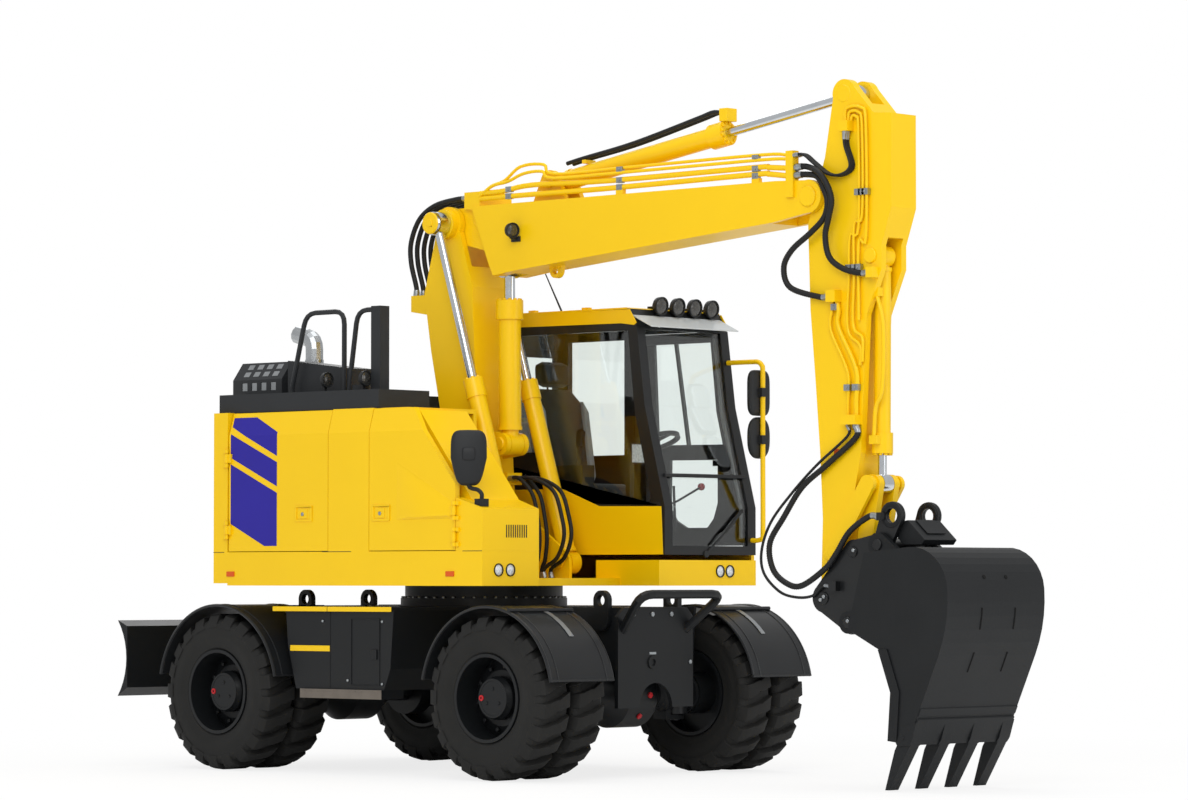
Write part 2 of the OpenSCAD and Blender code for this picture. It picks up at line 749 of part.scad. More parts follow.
module deck_trim() color(charcoal) from_slew() {
    box([cw_x - 150, -half_w + 60, housing_z], [175, trim_in, hood_z]);
    // Hollow guard over the exhaust, with rows of square holes
    difference() {
        wall(guard_x[0], guard_x[1]) polygon(guard_section(0));
        wall(guard_x[0] + guard_t, guard_x[1] - guard_t) polygon(guard_section(guard_t));
        for (i = [0 : 3]) translate([guard_x[0] + 90 + i * guard_pitch, guard_y - 1, hood_z + 35])
            cube([guard_hole, guard_t + 2, guard_hole]);
    }
    // Cover beside it, falling forward
    slab(guard_y, trim_in) polygon([[guard_x[1] + 60, hood_z - 1], [-316, hood_z - 1], [-335, hood_z + 160],
        [guard_x[1] + 60, hood_z + guard_h]]);
    // Filler cap
    translate([-169, -1000, hood_z - 1]) cylinder(r = 60, h = 40);
}

hood_x0 = -1380;
hood_x1 = -420;
hood_y0 = -half_w + 535;
hood_y1 = half_w - 120;

hood_hinge = [hood_x0 - hinge_r - 2, housing_z + hinge_r + 3];
hood_hinge_y = [hood_y0 + 300, hood_y1 - 300];

module engine_hood() color(charcoal) from_slew() {
    difference() {
        box([hood_x0, hood_y0, housing_z + 2], [hood_x1, hood_y1, hood_z]);
        box([cw_x + 30, hood_y0 + 40, housing_z], [hood_x1 - 40, hood_y1 - 40, hood_z - 40]);
    }
    for (y = hood_hinge_y) slab(y - hinge_half, y + hinge_half) difference() {
        union() {
            disc(hood_hinge, hinge_r);
            translate(hood_hinge) square([hinge_r + 3, hinge_r]);
        }
        disc(hood_hinge, hinge_pin_r + pin_gap);
    }
}

module exhaust_stack() color(chrome) from_slew() {
    translate([-1150, -500, hood_z]) cylinder(r = 65, h = 260);
    tube(bend([[-1150, -500, hood_z + 250], [-1150, -500, hood_z + 400], [-1320, -500, hood_z + 440]],
        120), 62, 12);
}

rail_y = -1000;
rail_r = 17;
rail_top = hood_z + 540;

module rails() color(charcoal) from_slew() {
    tube(bend([[-840, rail_y, hood_z], [-840, rail_y, hood_z + 40], [-700, rail_y, rail_top],
        [-330, rail_y, rail_top],
        [-330, rail_y, hood_z]], 90), rail_r);
    tube(bend([[-280, rail_y, hood_z], [-280, rail_y, hood_z + 40], [-200, rail_y, rail_top],
        [0, rail_y, rail_top]], 90), rail_r);
    box([-30, rail_y - 43, hood_z], [56, rail_y + 43, rail_top + 20]);
}

left_rail_x = cab_front + 100;
left_rail_y = 1160;

mirror_at = [1018, -1180, 2070];
mirror_turn = 45;
foot_x = [1105, 1165];

// Outline of the right mirror's head, narrower below
mirror_head = [
    [-85, 181], [-115, 150], [-118, 0], [-95, -95], [-55, -170], [-30, -181],
    [30, -181], [55, -170], [95, -95], [118, 0], [115, 150], [85, 181]
];

// Height of the right front panel's top edge
function panel_top(x) = box_top + 70 * (box_x - x) / (box_x - front_door[1] - side_gap);

module mirrors() color(black) from_slew() {
    // Right mirror on its stalk, with a foot on the sloping front panel
    slab(mirror_at[1] - 35, mirror_at[1] + 35) polygon([[foot_x[0], panel_top(foot_x[0]) + seat_gap],
        [foot_x[1], panel_top(foot_x[1]) + seat_gap], [foot_x[1], box_top + 60],
            [foot_x[0], box_top + 60]]);
    stalk_x = (foot_x[0] + foot_x[1]) / 2;
    tube(bend([[stalk_x, mirror_at[1], box_top + 50], [stalk_x, mirror_at[1], box_top + 95],
        [mirror_at[0], mirror_at[1], box_top + 140], [mirror_at[0], mirror_at[1], mirror_at[2] - 60]],
            40), 14);
    translate(mirror_at) rotate([0, 0, mirror_turn]) slab(-28, 28) polygon(mirror_head);
    // Left mirrors on a rail before the cab
    tube(bend([[cab_front + 0.5, left_rail_y, cab_z0 + 100], [left_rail_x, left_rail_y, cab_z0 + 100],
        [left_rail_x, left_rail_y, cab_z0 + 1310], [cab_front - 218, left_rail_y, cab_z0 + 1310]], 80), 18);
    for (z = [[cab_z0 + 650, cab_z0 + 935], [cab_z0 + 950, cab_z0 + 1250]])
        box([left_rail_x - 60, left_rail_y - 105, z[0]], [left_rail_x - 15, left_rail_y + 105, z[1]]);
}

// Side doors

module right_rear_door() color(yellow) from_slew() {
    wall(rear_door[0], rear_door[1])
        polygon(side_section(door_t, skirt_z + side_gap, housing_z - side_gap));
    for (z = side_hinges) door_hinge(rear_hinge, z, 1, 1);
}

module right_front_door() color(yellow) from_slew() {
    intersection() {
        wall(front_door[0], front_door[1])
            polygon(side_section(door_t, skirt_z + side_gap, housing_z - side_gap));
        slab(-half_w, 0) polygon([[0, skirt_z], [1000, skirt_z], [1000, box_top + 90], [520, housing_z],
            [0, housing_z]]);
    }
    for (z = low_hinges) door_hinge(front_hinge, z, -1, 1);
}

module left_service_door() color(yellow) from_slew() mirror([0, 1, 0]) {
    wall(rear_door[0], -460) polygon(side_section(door_t, skirt_z + side_gap, housing_z - side_gap));
    for (z = side_hinges) door_hinge(rear_hinge, z, 1, 1);
}

// Cab

cab_z0 = deck_z + 205;
cab_z1 = cab_z0 + cab_h;
cab_y1 = cab_y0 + cab_w;
cab_rear = -400;
roof_front = cab_front - 330;
cab_side = [
    [cab_rear, cab_z0], [cab_front, cab_z0], [cab_front, cab_z0 + 320], [cab_front - 180, cab_z0 + 1000],
    [cab_front - 250, cab_z1 - 130], [roof_front, cab_z1], [cab_rear + 60, cab_z1], [cab_rear, cab_z1 - 200]
];
cab_inside = inset(cab_side, cab_wall);
door_gap = 5;
door_side = [
    [330, cab_z0 + 60], [cab_front - 70, cab_z0 + 60], [cab_front - 70, cab_z0 + 330],
        [cab_front - 240, cab_z0 + 990],
    [cab_front - 300, cab_z1 - 120], [330, cab_z1 - 120]
];
right_window = [
    [-250, cab_z0 + 700], [300, cab_z0 + 700], [560, cab_z0 + 330], [cab_front - 110, cab_z0 + 330],
    [cab_front - 270, cab_z0 + 960], [cab_front - 330, cab_z1 - 150], [-250, cab_z1 - 150]
];
left_window = [
    [-300, cab_z0 + 700], [240, cab_z0 + 700], [240, cab_z1 - 150], [-300, cab_z1 - 150]
];

cab_hinge = [door_side[0][0] + door_gap / 2, cab_y1 + hinge_r + 1];
cab_hinges = [cab_z0 + 250, cab_z0 + 1250];

module cab_shell() color(black) from_slew() {
    for (z = cab_hinges) frame_hinge(cab_hinge, z, -1, -1);
    cab_walls();
}

module cab_walls() difference() {
    slab(cab_y0, cab_y1) polygon(cab_side);
    slab(cab_y0 + cab_wall, cab_y1 - cab_wall) polygon(cab_inside);
    slab(cab_y1 - cab_wall - 1, cab_y1 + 1) polygon(door_side);
    slab(cab_y0 - 1, cab_y0 + cab_wall + 1) polygon(right_window);
    slab(cab_y1 - cab_wall - 1, cab_y1 + 1) polygon(left_window);
    // Windscreen and rear window
    box([cab_front - 340, cab_y0 + 80, cab_z0 + 60], [cab_front + 1, cab_y1 - 80, cab_z1 - 140]);
    box([cab_rear - 1, cab_y0 + 110, cab_z0 + 700], [cab_rear + cab_wall + 60, cab_y1 - 110, cab_z1 - 260]);
}

module cab_glass() color(glass) from_slew() {
    slab(cab_y0 + 10, cab_y0 + 10 + glass_t) polygon(right_window);
    slab(cab_y1 - 10 - glass_t, cab_y1 - 10) polygon(left_window);
    box([cab_rear + 10, cab_y0 + 110, cab_z0 + 700], [cab_rear + 10 + glass_t, cab_y1 - 110, cab_z1 - 260]);
    // Windscreen, between the front pillars
    outer = inset(cab_side, 12);
    intersection() {
        slab(cab_y0 + 80, cab_y1 - 80) difference() {
            polygon(outer);
            polygon(inset(outer, glass_t));
        }
        box([cab_front - 340, cab_y0, cab_z0 + 60], [cab_front + 1, cab_y1, cab_z1 - 140]);
    }
}

door_leaf = inset(door_side, door_gap);
door_pane = inset(door_side, 75);

module cab_door() color(black) from_slew() {
    slab(cab_y1 - cab_wall, cab_y1) difference() {
        polygon(door_leaf);
        polygon(door_pane);
    }
    for (z = cab_hinges) door_hinge(cab_hinge, z, 1, -1);
}

module cab_door_glass() color(glass) from_slew() slab(cab_y1 - 20 - glass_t, cab_y1 - 20)
    polygon(door_pane);

seat_x = 250;
seat_y = cab_y0 + cab_w / 2;
column_x = 950;
wheel_r = 190;

module seat() color(black) from_slew() {
    floor_z = cab_z0 + cab_wall;
    box([seat_x - 200, seat_y - 200, floor_z], [seat_x + 200, seat_y + 200, floor_z + 300]);
    box([seat_x - 260, seat_y - 250, floor_z + 300], [seat_x + 260, seat_y + 250, floor_z + 440]);
    slab(seat_y - 240, seat_y + 240)
        link([seat_x - 190, floor_z + 500], 65, [seat_x - 290, floor_z + 1050], 50);
    slab(seat_y - 140, seat_y + 140)
        link([seat_x - 300, floor_z + 1150], 45, [seat_x - 310, floor_z + 1260], 40);
    slab(seat_y - 20, seat_y + 20)
        link([seat_x - 295, floor_z + 1050], 15, [seat_x - 302, floor_z + 1160], 15);
}

module controls() color(black) from_slew() {
    floor_z = cab_z0 + cab_wall;
    for (side = [1, -1]) {
        box([seat_x - 150, seat_y + side * 320 - 60, floor_z],
            [seat_x + 330, seat_y + side * 320 + 60, floor_z + 560]);
        translate([seat_x + 250, seat_y + side * 320, floor_z + 559]) cylinder(r = 20, h = 180);
    }
    // Steering column and wheel
    box([column_x - 60, seat_y - 60, floor_z], [column_x + 60, seat_y + 60, floor_z + 60]);
    tube([[column_x, seat_y, floor_z + 30], [column_x - 70, seat_y, floor_z + 700]], 45, 10);
    translate([column_x - 72, seat_y, floor_z + 700]) rotate([0, -20, 0]) {
        difference() {
            cylinder(r = wheel_r, h = 28);
            translate([0, 0, -1]) cylinder(r = wheel_r - 25, h = 30);
        }
        translate([10 - wheel_r, -15, 5]) cube([2 * wheel_r - 20, 30, 16]);
    }
}

lamp_r = 55;

module lamps() color(white) from_slew() {
    // Four on the roof, each on a foot
    for (i = [0 : 3]) translate([roof_front - 60, cab_y0 + 150 + 175 * i, cab_z1]) {
        translate([0, 0, lamp_r + 8]) rotate([0, 90, 0]) cylinder(r = lamp_r, h = 60);
        box([10, -20, seat_gap], [50, 20, 20]);
    }
    // Headlamps at the right front corner and under the cab
    for (y = [-1082, -973]) translate([box_x + seat_gap, y, deck_z + 102]) rotate([0, 90, 0])
        cylinder(r = 45, h = 20);
    for (y = [834, 932]) translate([cab_front + seat_gap, y, deck_z + 96]) rotate([0, 90, 0])
        cylinder(r = 45, h = 20);
    // Work lamps on the trim
    for (x = [-476, -105]) translate([x, -1000 - rail_r - 60, hood_z + seat_gap]) {
        translate([0, 0, 80]) rotate([0, 90, 0]) cylinder(r = lamp_r, h = 70);
        box([15, -15, 0], [55, 15, 40]);
    }
}

// Boom, arm and their cylinders

cyl_pin_r = 40;
cyl_half = 45;
cyl_y = bracket_out + 70;
cyl_in = cyl_y - cyl_half;
cyl_out = cyl_y + cyl_half;
fork_in = boom_half - 42;
tongue_half = fork_in - side_gap;
knuckle_pin_r = 50;

// Blocks for the hoses, and where the hoses lie
back_block = [[-280, 3085], [-280, 3222], [-450, 3222], [-450, 3112]];
foot_block = [[150, 1925], [305, 1925], [305, 2005], [150, 2005]];
top_block = [[60, 3790], [205, 3770], [205, 3900], [60, 3900]];
nose_post = 3000;
knuckle_hose_y = [-230, -165, -100, -35, 30];
foot_hose_y = [-70, -35, 0, 35];
boom_eye = [779, 3345];

boom_lower_side = [
    boom_foot + [-105, 45], boom_foot + [105, 45], boom_foot + [44, 920], boom_foot + [16, 1540],
    knuckle + [110, -50], knuckle + [-110, -50], boom_foot + [-441, 1510], boom_foot + [-376, 1116],
    boom_foot + [-292, 736]
];

module boom_lower() color(yellow) from_slew() {
    difference() {
        union() {
            slab(boom_y - boom_half, boom_y + boom_half) {
                disc(boom_foot, 115);
                disc(knuckle, 120);
                polygon(boom_lower_side);
            }
            pair_slab(boom_half - 1, cyl_in - 3) disc(knuckle, 100);
            for (y = [adjust_half + side_gap, -adjust_half - side_gap - ear_w])
                slab(boom_y + y, boom_y + y + ear_w) link(adjust_foot, 75, adjust_foot - [260, 0], 110);
            // Blocks that the hoses screw into
            slab(knuckle_hose_y[0] - 25, knuckle_hose_y[4] + 25) polygon(back_block);
            slab(foot_hose_y[0] - 18, foot_hose_y[3] + 18) polygon(foot_block);
        }
        pin(boom_foot, pin_r + pin_gap, -boom_half - 1, boom_half + 1);
        // Fork round the upper boom's tongue
        slab(boom_y - fork_in, boom_y + fork_in) polygon([knuckle + [-400, -290], knuckle + [400, -290],
            knuckle + [400, 300], knuckle + [-400, 300]]);
    }
    pin(knuckle, knuckle_pin_r, -fork_in - 1, fork_in + 1);
    pin(adjust_foot, link_pin_r, -adjust_half - side_gap - 1, adjust_half + side_gap + 1);
}

adjust_half = 60;
ear_w = 40;
arm_cyl_half = 55;
bucket_cyl_half = 45;

// Upper boom: straight top, bottom rising to the nose
boom_upper_side = [
    knuckle + [220, 110], knuckle + [385, -290], knuckle + [425, -366], knuckle + [640, -340],
    arm_pivot + [-290, -150], arm_pivot + [0, -104], arm_pivot + [30, 100], arm_pivot + [-270, 112]
];

module boom_upper() color(yellow) from_slew() {
    difference() {
        union() {
            slab(boom_y - boom_half, boom_y + boom_half) {
                polygon(boom_upper_side);
                disc(arm_pivot, 105);
            }
            slab(boom_y - tongue_half, boom_y + tongue_half) {
                disc(knuckle, 110);
                polygon([knuckle + [20, 108], knuckle + [-40, -102], knuckle + [330, -195],
                    knuckle + [420, -200],
                    knuckle + [420, 110]]);
            }
            for (y = [arm_cyl_half + side_gap, -arm_cyl_half - side_gap - ear_w])
                slab(boom_y + y, boom_y + y + ear_w) link(arm_cyl_foot, 80, arm_cyl_foot - [0, 190], 160);
            // Blocks that the hoses screw into, and the lifting eye below
            slab(knuckle_hose_y[0] - 25, knuckle_hose_y[4] + 25) polygon(top_block);
            box([nose_post - 60, boom_y - boom_half - 20, arm_pivot[1]],
                [nose_post, boom_y - arm_half - side_gap, arm_pivot[1] + 295]);
            slab(boom_y - 20, boom_y + 20) link(boom_eye, 50, boom_eye + [0, 90], 70);
        }
        pin(boom_eye, 25, -21, 21);
        pin(knuckle, knuckle_pin_r + pin_gap, -boom_half - 1, boom_half + 1);
        // Pocket for the adjusting cylinder's rod
        slab(boom_y - adjust_half - side_gap, boom_y + adjust_half + side_gap)
            polygon([knuckle + [100, -500], knuckle + [540, -500], knuckle + [540, -140],
                knuckle + [100, -140]]);
        // Fork for the arm
        slab(boom_y - arm_half - side_gap, boom_y + arm_half + side_gap)
            polygon([arm_pivot + [-330, -300], arm_pivot + [300, -300], arm_pivot + [300, 300],
                arm_pivot + [-330, 300]]);
    }
    pin(arm_pivot, pin_r, -arm_half - side_gap - 1, arm_half + side_gap + 1);
    pin(arm_cyl_foot, link_pin_r, -arm_cyl_half - side_gap - 1, arm_cyl_half + side_gap + 1);
}

module boom_cylinder_barrels() color(yellow) from_slew() for (y = [cyl_y, -cyl_y])
    barrel(boom_cyl_foot, knuckle, boom_y + y, 75, cyl_half, cyl_pin_r + pin_gap, 65, 120, 135, 1285, 65);

module boom_cylinder_rods() color(chrome) from_slew() for (y = [cyl_y, -cyl_y]) {
    rod(boom_cyl_foot, knuckle, boom_y + y, 80, cyl_half, 65, 1000);
    slab(boom_y + y + (y > 0 ? cyl_half - 1 : -cyl_half - 24),
        boom_y + y + (y > 0 ? cyl_half + 24 : 1 - cyl_half))
        disc(knuckle, 60);
}

module adjust_cylinder_barrel() color(yellow) from_slew()
    barrel(adjust_foot, adjust_eye, boom_y, 75, adjust_half, link_pin_r + pin_gap, 95, 150, 185, 970, 75);
module adjust_cylinder_rod() color(chrome) from_slew()
    rod(adjust_foot, adjust_eye, boom_y, 75, adjust_half, 75, 330);

module arm_cylinder_barrel() color(yellow) from_slew()
    barrel(arm_cyl_foot, arm_eye, boom_y, 70, arm_cyl_half, link_pin_r + pin_gap, 100, 130, 165, 1517, 60);
module arm_cylinder_rod() color(chrome) from_slew()
    rod(arm_cyl_foot, arm_eye, boom_y, 65, arm_cyl_half, 60, 1200);

arm_side = [
    arm_eye + [-85, -20], arm_pivot + [105, 243], arm_pivot + [-35, -173], arm_pivot + [-17, -710],
    arm_pivot + [25, -1177], arm_pivot + [61, -1625], tip + [-66, 497], tip + [-82, 0], tip + [82, 0],
    lever_pivot + [90, 60], arm_pivot + [392, -1615], arm_pivot + [440, -760], arm_pivot + [560, -480],
    arm_pivot + [560, -330], arm_pivot + [640, -100], arm_pivot + [640, 485], arm_pivot + [500, 495],
        arm_eye + [80, 40]
];

module arm() color(yellow) from_slew() {
    difference() {
        slab(boom_y - arm_half, boom_y + arm_half) {
            polygon(arm_side);
            disc(tip, 85);
            disc(arm_eye, 90);
            disc(bucket_cyl_foot, 85);
        }
        pin(arm_pivot, pin_r + pin_gap, -arm_half - 1, arm_half + 1);
        pin(tip, pin_r + pin_gap, -arm_half - 1, arm_half + 1);
        // Slot at the top for the arm cylinder's eye
        slab(boom_y - arm_cyl_half - side_gap, boom_y + arm_cyl_half + side_gap) union() {
            disc(arm_eye, 195);
            polygon([arm_eye, arm_eye + [-300, 0], arm_eye + [-300, 300], arm_eye + [300, 300]]);
        }
        // Slot at the front for the bucket cylinder
        slab(boom_y - bucket_cyl_half - 30, boom_y + bucket_cyl_half + 30)
            polygon([bucket_cyl_foot + [-95, 110], bucket_cyl_foot + [-95, -1500],
                bucket_cyl_foot + [400, -1500],
                bucket_cyl_foot + [400, 110]]);
    }
    // Blocks that the hoses screw into
    for (block = [arm_block, side_block, front_block, tool_block])
        slab(boom_y - arm_half - 68, boom_y - arm_half + 1) polygon(block);
    pin(lever_pivot, link_pin_r, -arm_half - lever_t - side_gap, arm_half + lever_t + side_gap);
    pin(bucket_cyl_foot, link_pin_r, -bucket_cyl_half - 31, bucket_cyl_half + 31);
}

module bucket_cylinder_barrel() color(yellow) from_slew()
    barrel(bucket_cyl_foot, lever_joint, boom_y, 65, bucket_cyl_half, link_pin_r + pin_gap, 70, 104,
        134, 1230, 55);
module bucket_cylinder_rod() color(chrome) from_slew()
    rod(bucket_cyl_foot, lever_joint, boom_y, 60, bucket_cyl_half, 55, 300);

lever_t = 28;

module bucket_levers() color(yellow) from_slew() difference() {
    pair_slab(arm_half + side_gap, arm_half + side_gap + lever_t) link(lever_pivot, 60, lever_joint, 55);
    pin(lever_pivot, link_pin_r + pin_gap, -300, 300);
}

module push_link() color(yellow) from_slew() {
    difference() {
        union() {
            pair_slab(bucket_cyl_half + side_gap, arm_half - 25) link(link_pin, 60, lever_joint, 60);
            pair_slab(arm_half - 26, arm_half + 2) disc(lever_joint, 45);
            slab(boom_y - arm_half, boom_y + arm_half) disc(link_pin, 60);
        }
        pin(link_pin, link_pin_r + pin_gap, -300, 300);
    }
}

// Hoses across the joints

hose_r = 17;
foot_hose_r = 14;
thick_r = 19;
thin_r = 9;
arm_block = [[3380, 4085], [3450, 4085], [3450, 4150], [3380, 4150]];
side_block = [[3270, 3020], [3345, 3020], [3345, 3095], [3270, 3095]];
front_block = [[3595, 3160], [3645, 3160], [3645, 3225], [3595, 3225]];
tool_block = [[3385, 2250], [3505, 2250], [3505, 2310], [3385, 2310]];
coupler_block = [[3330, 1215], [3390, 1215], [3390, 1275], [3330, 1275]];
hook_block = [[3718, 1650], [3750, 1650], [3750, 1700], [3718, 1700]];

// Route of X and Z points, each with a Y of its own
function laid(points, ys) = [for (i = [0 : len(points) - 1]) [points[i][0], ys[i], points[i][1]]];
function level(points, y) = [for (p = points) [p[0], y, p[1]]];
module hose(route, r) { tube(bend(route, 400, 1), r); }

// Lower boom to upper boom
knuckle_route = [
    [-424, 3222.3], [-424, 3280], [-475, 3450], [-475, 3595], [-392, 3748], [-244, 3831], [-40, 3862],
        [59.7, 3862]
];

module knuckle_hoses() color(black) from_slew() for (y = knuckle_hose_y)
    hose(level(knuckle_route, y), hose_r);

// Frame to lower boom: an inner and an outer loop, two of each
foot_routes = [
    [[305.3, 1965], [400, 1965], [520, 1860], [570, 1704], [590, 1565], [575, 1430], [546, 1360],
        [546, 1295.8]],
    [[305.3, 1965], [480, 1965], [680, 1880], [760, 1704], [780, 1565], [715, 1430], [600, 1360],
        [600, 1295.8]]
];

module foot_hoses() color(black) from_slew() for (i = [0 : 3])
    hose(level(foot_routes[i % 2], foot_hose_y[i]), foot_hose_r);

// Upper boom to arm: three thin ones over the nose and two thick ones beside it
thin_arm_route = [
    [3000.3, 3960], [3076, 3960], [3160, 3901], [3268, 3829], [3376, 3813], [3459, 3863], [3415, 4000],
        [3415, 4084.7]
];
low_arm_route = laid(
    [[3000.3, 3834], [3090, 3834], [3195, 3812], [3255, 3735], [3290, 3650], [3262, 3550], [3150, 3460],
        [2995, 3360], [2925, 3252], [2975, 3125], [3190, 3058], [3269.7, 3058]],
    [-256, -256, -276, -288, -292, -292, -290, -288, -285, -280, -256, -256]);
high_arm_route = laid(
    [[3000.3, 3884], [3090, 3884], [3235, 3835], [3310, 3745], [3340, 3650], [3310, 3545], [3275, 3430],
        [3300, 3300], [3401, 3225], [3520, 3192], [3594.7, 3192]],
    [-256, -256, -312, -314, -312, -305, -295, -285, -275, -256, -256]);

module arm_hoses() color(black) from_slew() {
    for (y = [-237, -256, -275]) hose(level(thin_arm_route, y), thin_r);
    hose(low_arm_route, thick_r);
    hose(high_arm_route, thick_r);
}

// Arm to quick coupler
thin_tool_route = laid(
    [[3411, 2249.7], [3411, 2180], [3172, 2001], [2983, 1831], [2820, 1650], [2750, 1472], [2773, 1327],
        [2906, 1211], [3048, 1175], [3180, 1185], [3262, 1245], [3329.7, 1245]],
    [-246, -246, -262, -276, -290, -300, -306, -310, -312, -313, -313, -313]);
thick_tool_route = laid(
    [[3478, 2249.7], [3478, 2170], [3247, 2000], [3059, 1866], [2920, 1680], [2815, 1515], [2849, 1355],
        [2963, 1266], [3095, 1247], [3283, 1348], [3376, 1440], [3488, 1582], [3640, 1675], [3717.7, 1675]],
    [-246, -246, -256, -268, -282, -296, -308, -316, -320, -322, -322, -322, -318, -318]);

module tool_hoses() color(black) from_slew() {
    hose(thin_tool_route, thin_r);
    hose(thick_tool_route, thick_r);
}

// Quick coupler and bucket

boss_in = arm_half + side_gap;
coupler_in = boss_in + lever_t + side_gap;
coupler_t = 35;
hold_pin_a = tip + [225, -150];
hold_pin_b = tip + [465, 330];
hook_eye = hold_pin_b + [80, 180];
hook_hole_r = 45;

module coupler() color(black) from_slew() {
    pair_slab(coupler_in, coupler_in + coupler_t) difference() {
        union() {
            polygon([tip, hold_pin_a, hold_pin_b, link_pin]);
            link(tip, 90, link_pin, 75);
            link(tip, 86, hold_pin_a, 75);
            link(link_pin, 71, hold_pin_b, 75);
            link(hold_pin_a, 71, hold_pin_b, 71);
            link(hook_eye, 85, hold_pin_b, 67);
        }
        disc(hook_eye, hook_hole_r);
    }
    pair_slab(boss_in, coupler_in + 1) {
        disc(tip, 75);
        disc(link_pin, 60);
    }
    pin(tip, pin_r, -boss_in - 1, boss_in + 1);
    pin(link_pin, link_pin_r, -boss_in - 1, boss_in + 1);
    for (p = [hold_pin_a, hold_pin_b]) pin(p, link_pin_r, -ear_out, ear_out);
    // Blocks that the hoses screw into
    for (block = [coupler_block, hook_block])
        slab(boom_y - coupler_in - coupler_t - 45, boom_y - coupler_in - coupler_t + 1) polygon(block);
    // Body between the plates
    slab(boom_y - coupler_in - 1, boom_y + coupler_in + 1)
        link(hold_pin_a + [60, 60], 70, hold_pin_b + [0, -40], 75);
}

ear_in = coupler_in + coupler_t + 2;
ear_out = ear_in + 35;
floor_out = [cos(floor_turn), sin(floor_turn)];
floor_way = [sin(floor_turn), -cos(floor_turn)];
lip = back + back_r * floor_out + floor_len * floor_way;
tooth_drop = lip[1] - 8;
mouth_top = tip + [430, -190];
crown = tip + [560, 280];

// Outline of the bucket's back at depth t inside its plates
function bucket_back(t) = concat(
    arc(heel, heel_r - t, 95, heel_turn, 8),
    arc(back, back_r - t, heel_turn, floor_turn, 5)
);

// Outline of the space inside the bucket, at depth t inside its plates; it runs out through the mouth
function bucket_space(t) = concat(
    [crown + [t + 5, -t]],
    bucket_back(t),
    [lip - t * floor_out + 60 * floor_way, lip + [-400, -60], mouth_top + [-300, -60],
        mouth_top + [t + 5, 0]]
);

module bucket() color(black) from_slew() {
    side = concat([crown], bucket_back(0),
        [lip, lip + [-150, 15], lip + [-128, 310], lip + [-225, 570], mouth_top]);
    difference() {
        slab(boom_y - bucket_half, boom_y + bucket_half) polygon(side);
        slab(boom_y - bucket_half + bucket_t, boom_y + bucket_half - bucket_t)
            polygon(bucket_space(bucket_t));
    }
    // Ears that the coupler's pins hold
    difference() {
        pair_slab(ear_in, ear_out) {
            link(hold_pin_a, 70, mouth_top + [60, 60], 60);
            link(hold_pin_b, 75, crown + [80, -40], 40);
            polygon([hold_pin_a, mouth_top + [60, 60], crown + [80, -40], hold_pin_b]);
        }
        for (p = [hold_pin_a, hold_pin_b]) pin(p, link_pin_r + pin_gap, -300, 300);
        slab(boom_y - bucket_half, boom_y + bucket_half) polygon(bucket_space(bucket_t / 2));
    }
    // Teeth
    for (i = [0 : teeth - 1]) {
        y = boom_y + (bucket_half - 50) * (2 * i / (teeth - 1) - 1);
        slab(y - 45, y + 45)
            polygon([lip + [60, 110], lip + [-30, 90], lip + [-105, -40], lip + [-180, -tooth_drop],
            lip + [-150, -tooth_drop], lip + [20, 0]]);
    }
}

chassis_frame();
side_boxes();
slew_bearing();
front_axle();
rear_axle();
rear_fenders();
transmission();
knuckle_left();
knuckle_right();
tyres_front_left();
tyres_front_right();
tyres_rear_left();
tyres_rear_right();
rims_front_left();
rims_front_right();
rims_rear_left();
rims_rear_right();
blade_arms();
blade();
blade_cylinder_barrels();
blade_cylinder_rods();
upper_frame();
counterweight();
engine();
housing_panels();
front_box();
deck_trim();
rails();
mirrors();
engine_hood();
exhaust_stack();
right_rear_door();
right_front_door();
left_service_door();
cab_shell();
cab_glass();
cab_door();
cab_door_glass();
seat();
controls();
lamps();
boom_lower();
boom_upper();
boom_cylinder_barrels();
boom_cylinder_rods();
adjust_cylinder_barrel();
adjust_cylinder_rod();
arm();
arm_cylinder_barrel();
arm_cylinder_rod();
bucket_cylinder_barrel();
bucket_cylinder_rod();
bucket_levers();
push_link();
coupler();
bucket();
foot_hoses();
knuckle_hoses();
arm_hoses();
tool_hoses();
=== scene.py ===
"""Looks of a wheeled excavator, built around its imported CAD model. Metres, +X forward, +Y left, +Z up."""
import math

import bmesh
import bpy
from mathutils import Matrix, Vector


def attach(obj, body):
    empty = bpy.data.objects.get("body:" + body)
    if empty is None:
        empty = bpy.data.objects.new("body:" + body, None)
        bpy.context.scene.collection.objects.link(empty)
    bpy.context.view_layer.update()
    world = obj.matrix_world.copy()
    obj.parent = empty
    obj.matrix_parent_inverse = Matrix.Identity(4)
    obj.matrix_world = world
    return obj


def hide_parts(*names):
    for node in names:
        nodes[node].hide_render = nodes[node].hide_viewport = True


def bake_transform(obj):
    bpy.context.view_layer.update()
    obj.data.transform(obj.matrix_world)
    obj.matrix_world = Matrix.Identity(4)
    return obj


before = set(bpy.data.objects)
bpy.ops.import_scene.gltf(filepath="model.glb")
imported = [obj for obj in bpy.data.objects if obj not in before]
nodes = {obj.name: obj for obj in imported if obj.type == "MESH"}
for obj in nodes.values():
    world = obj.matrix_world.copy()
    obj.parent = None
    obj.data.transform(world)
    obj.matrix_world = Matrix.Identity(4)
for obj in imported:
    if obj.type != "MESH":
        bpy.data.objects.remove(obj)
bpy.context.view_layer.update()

# Slewing centre in the model's frame; sizes below are millimetres measured from it
SLEW_X = -1072.0


def at(x, y, z):
    """A point given in millimetres from the slewing centre, as metres in the model's frame."""
    return Vector(((x + SLEW_X) / 1000, y / 1000, z / 1000))


# Camera at the photograph's place: 43 degrees to the right of straight ahead, 2.3 degrees upward
CAMERA_TURN = math.radians(43.011)
CAMERA_PITCH = math.radians(2.318)

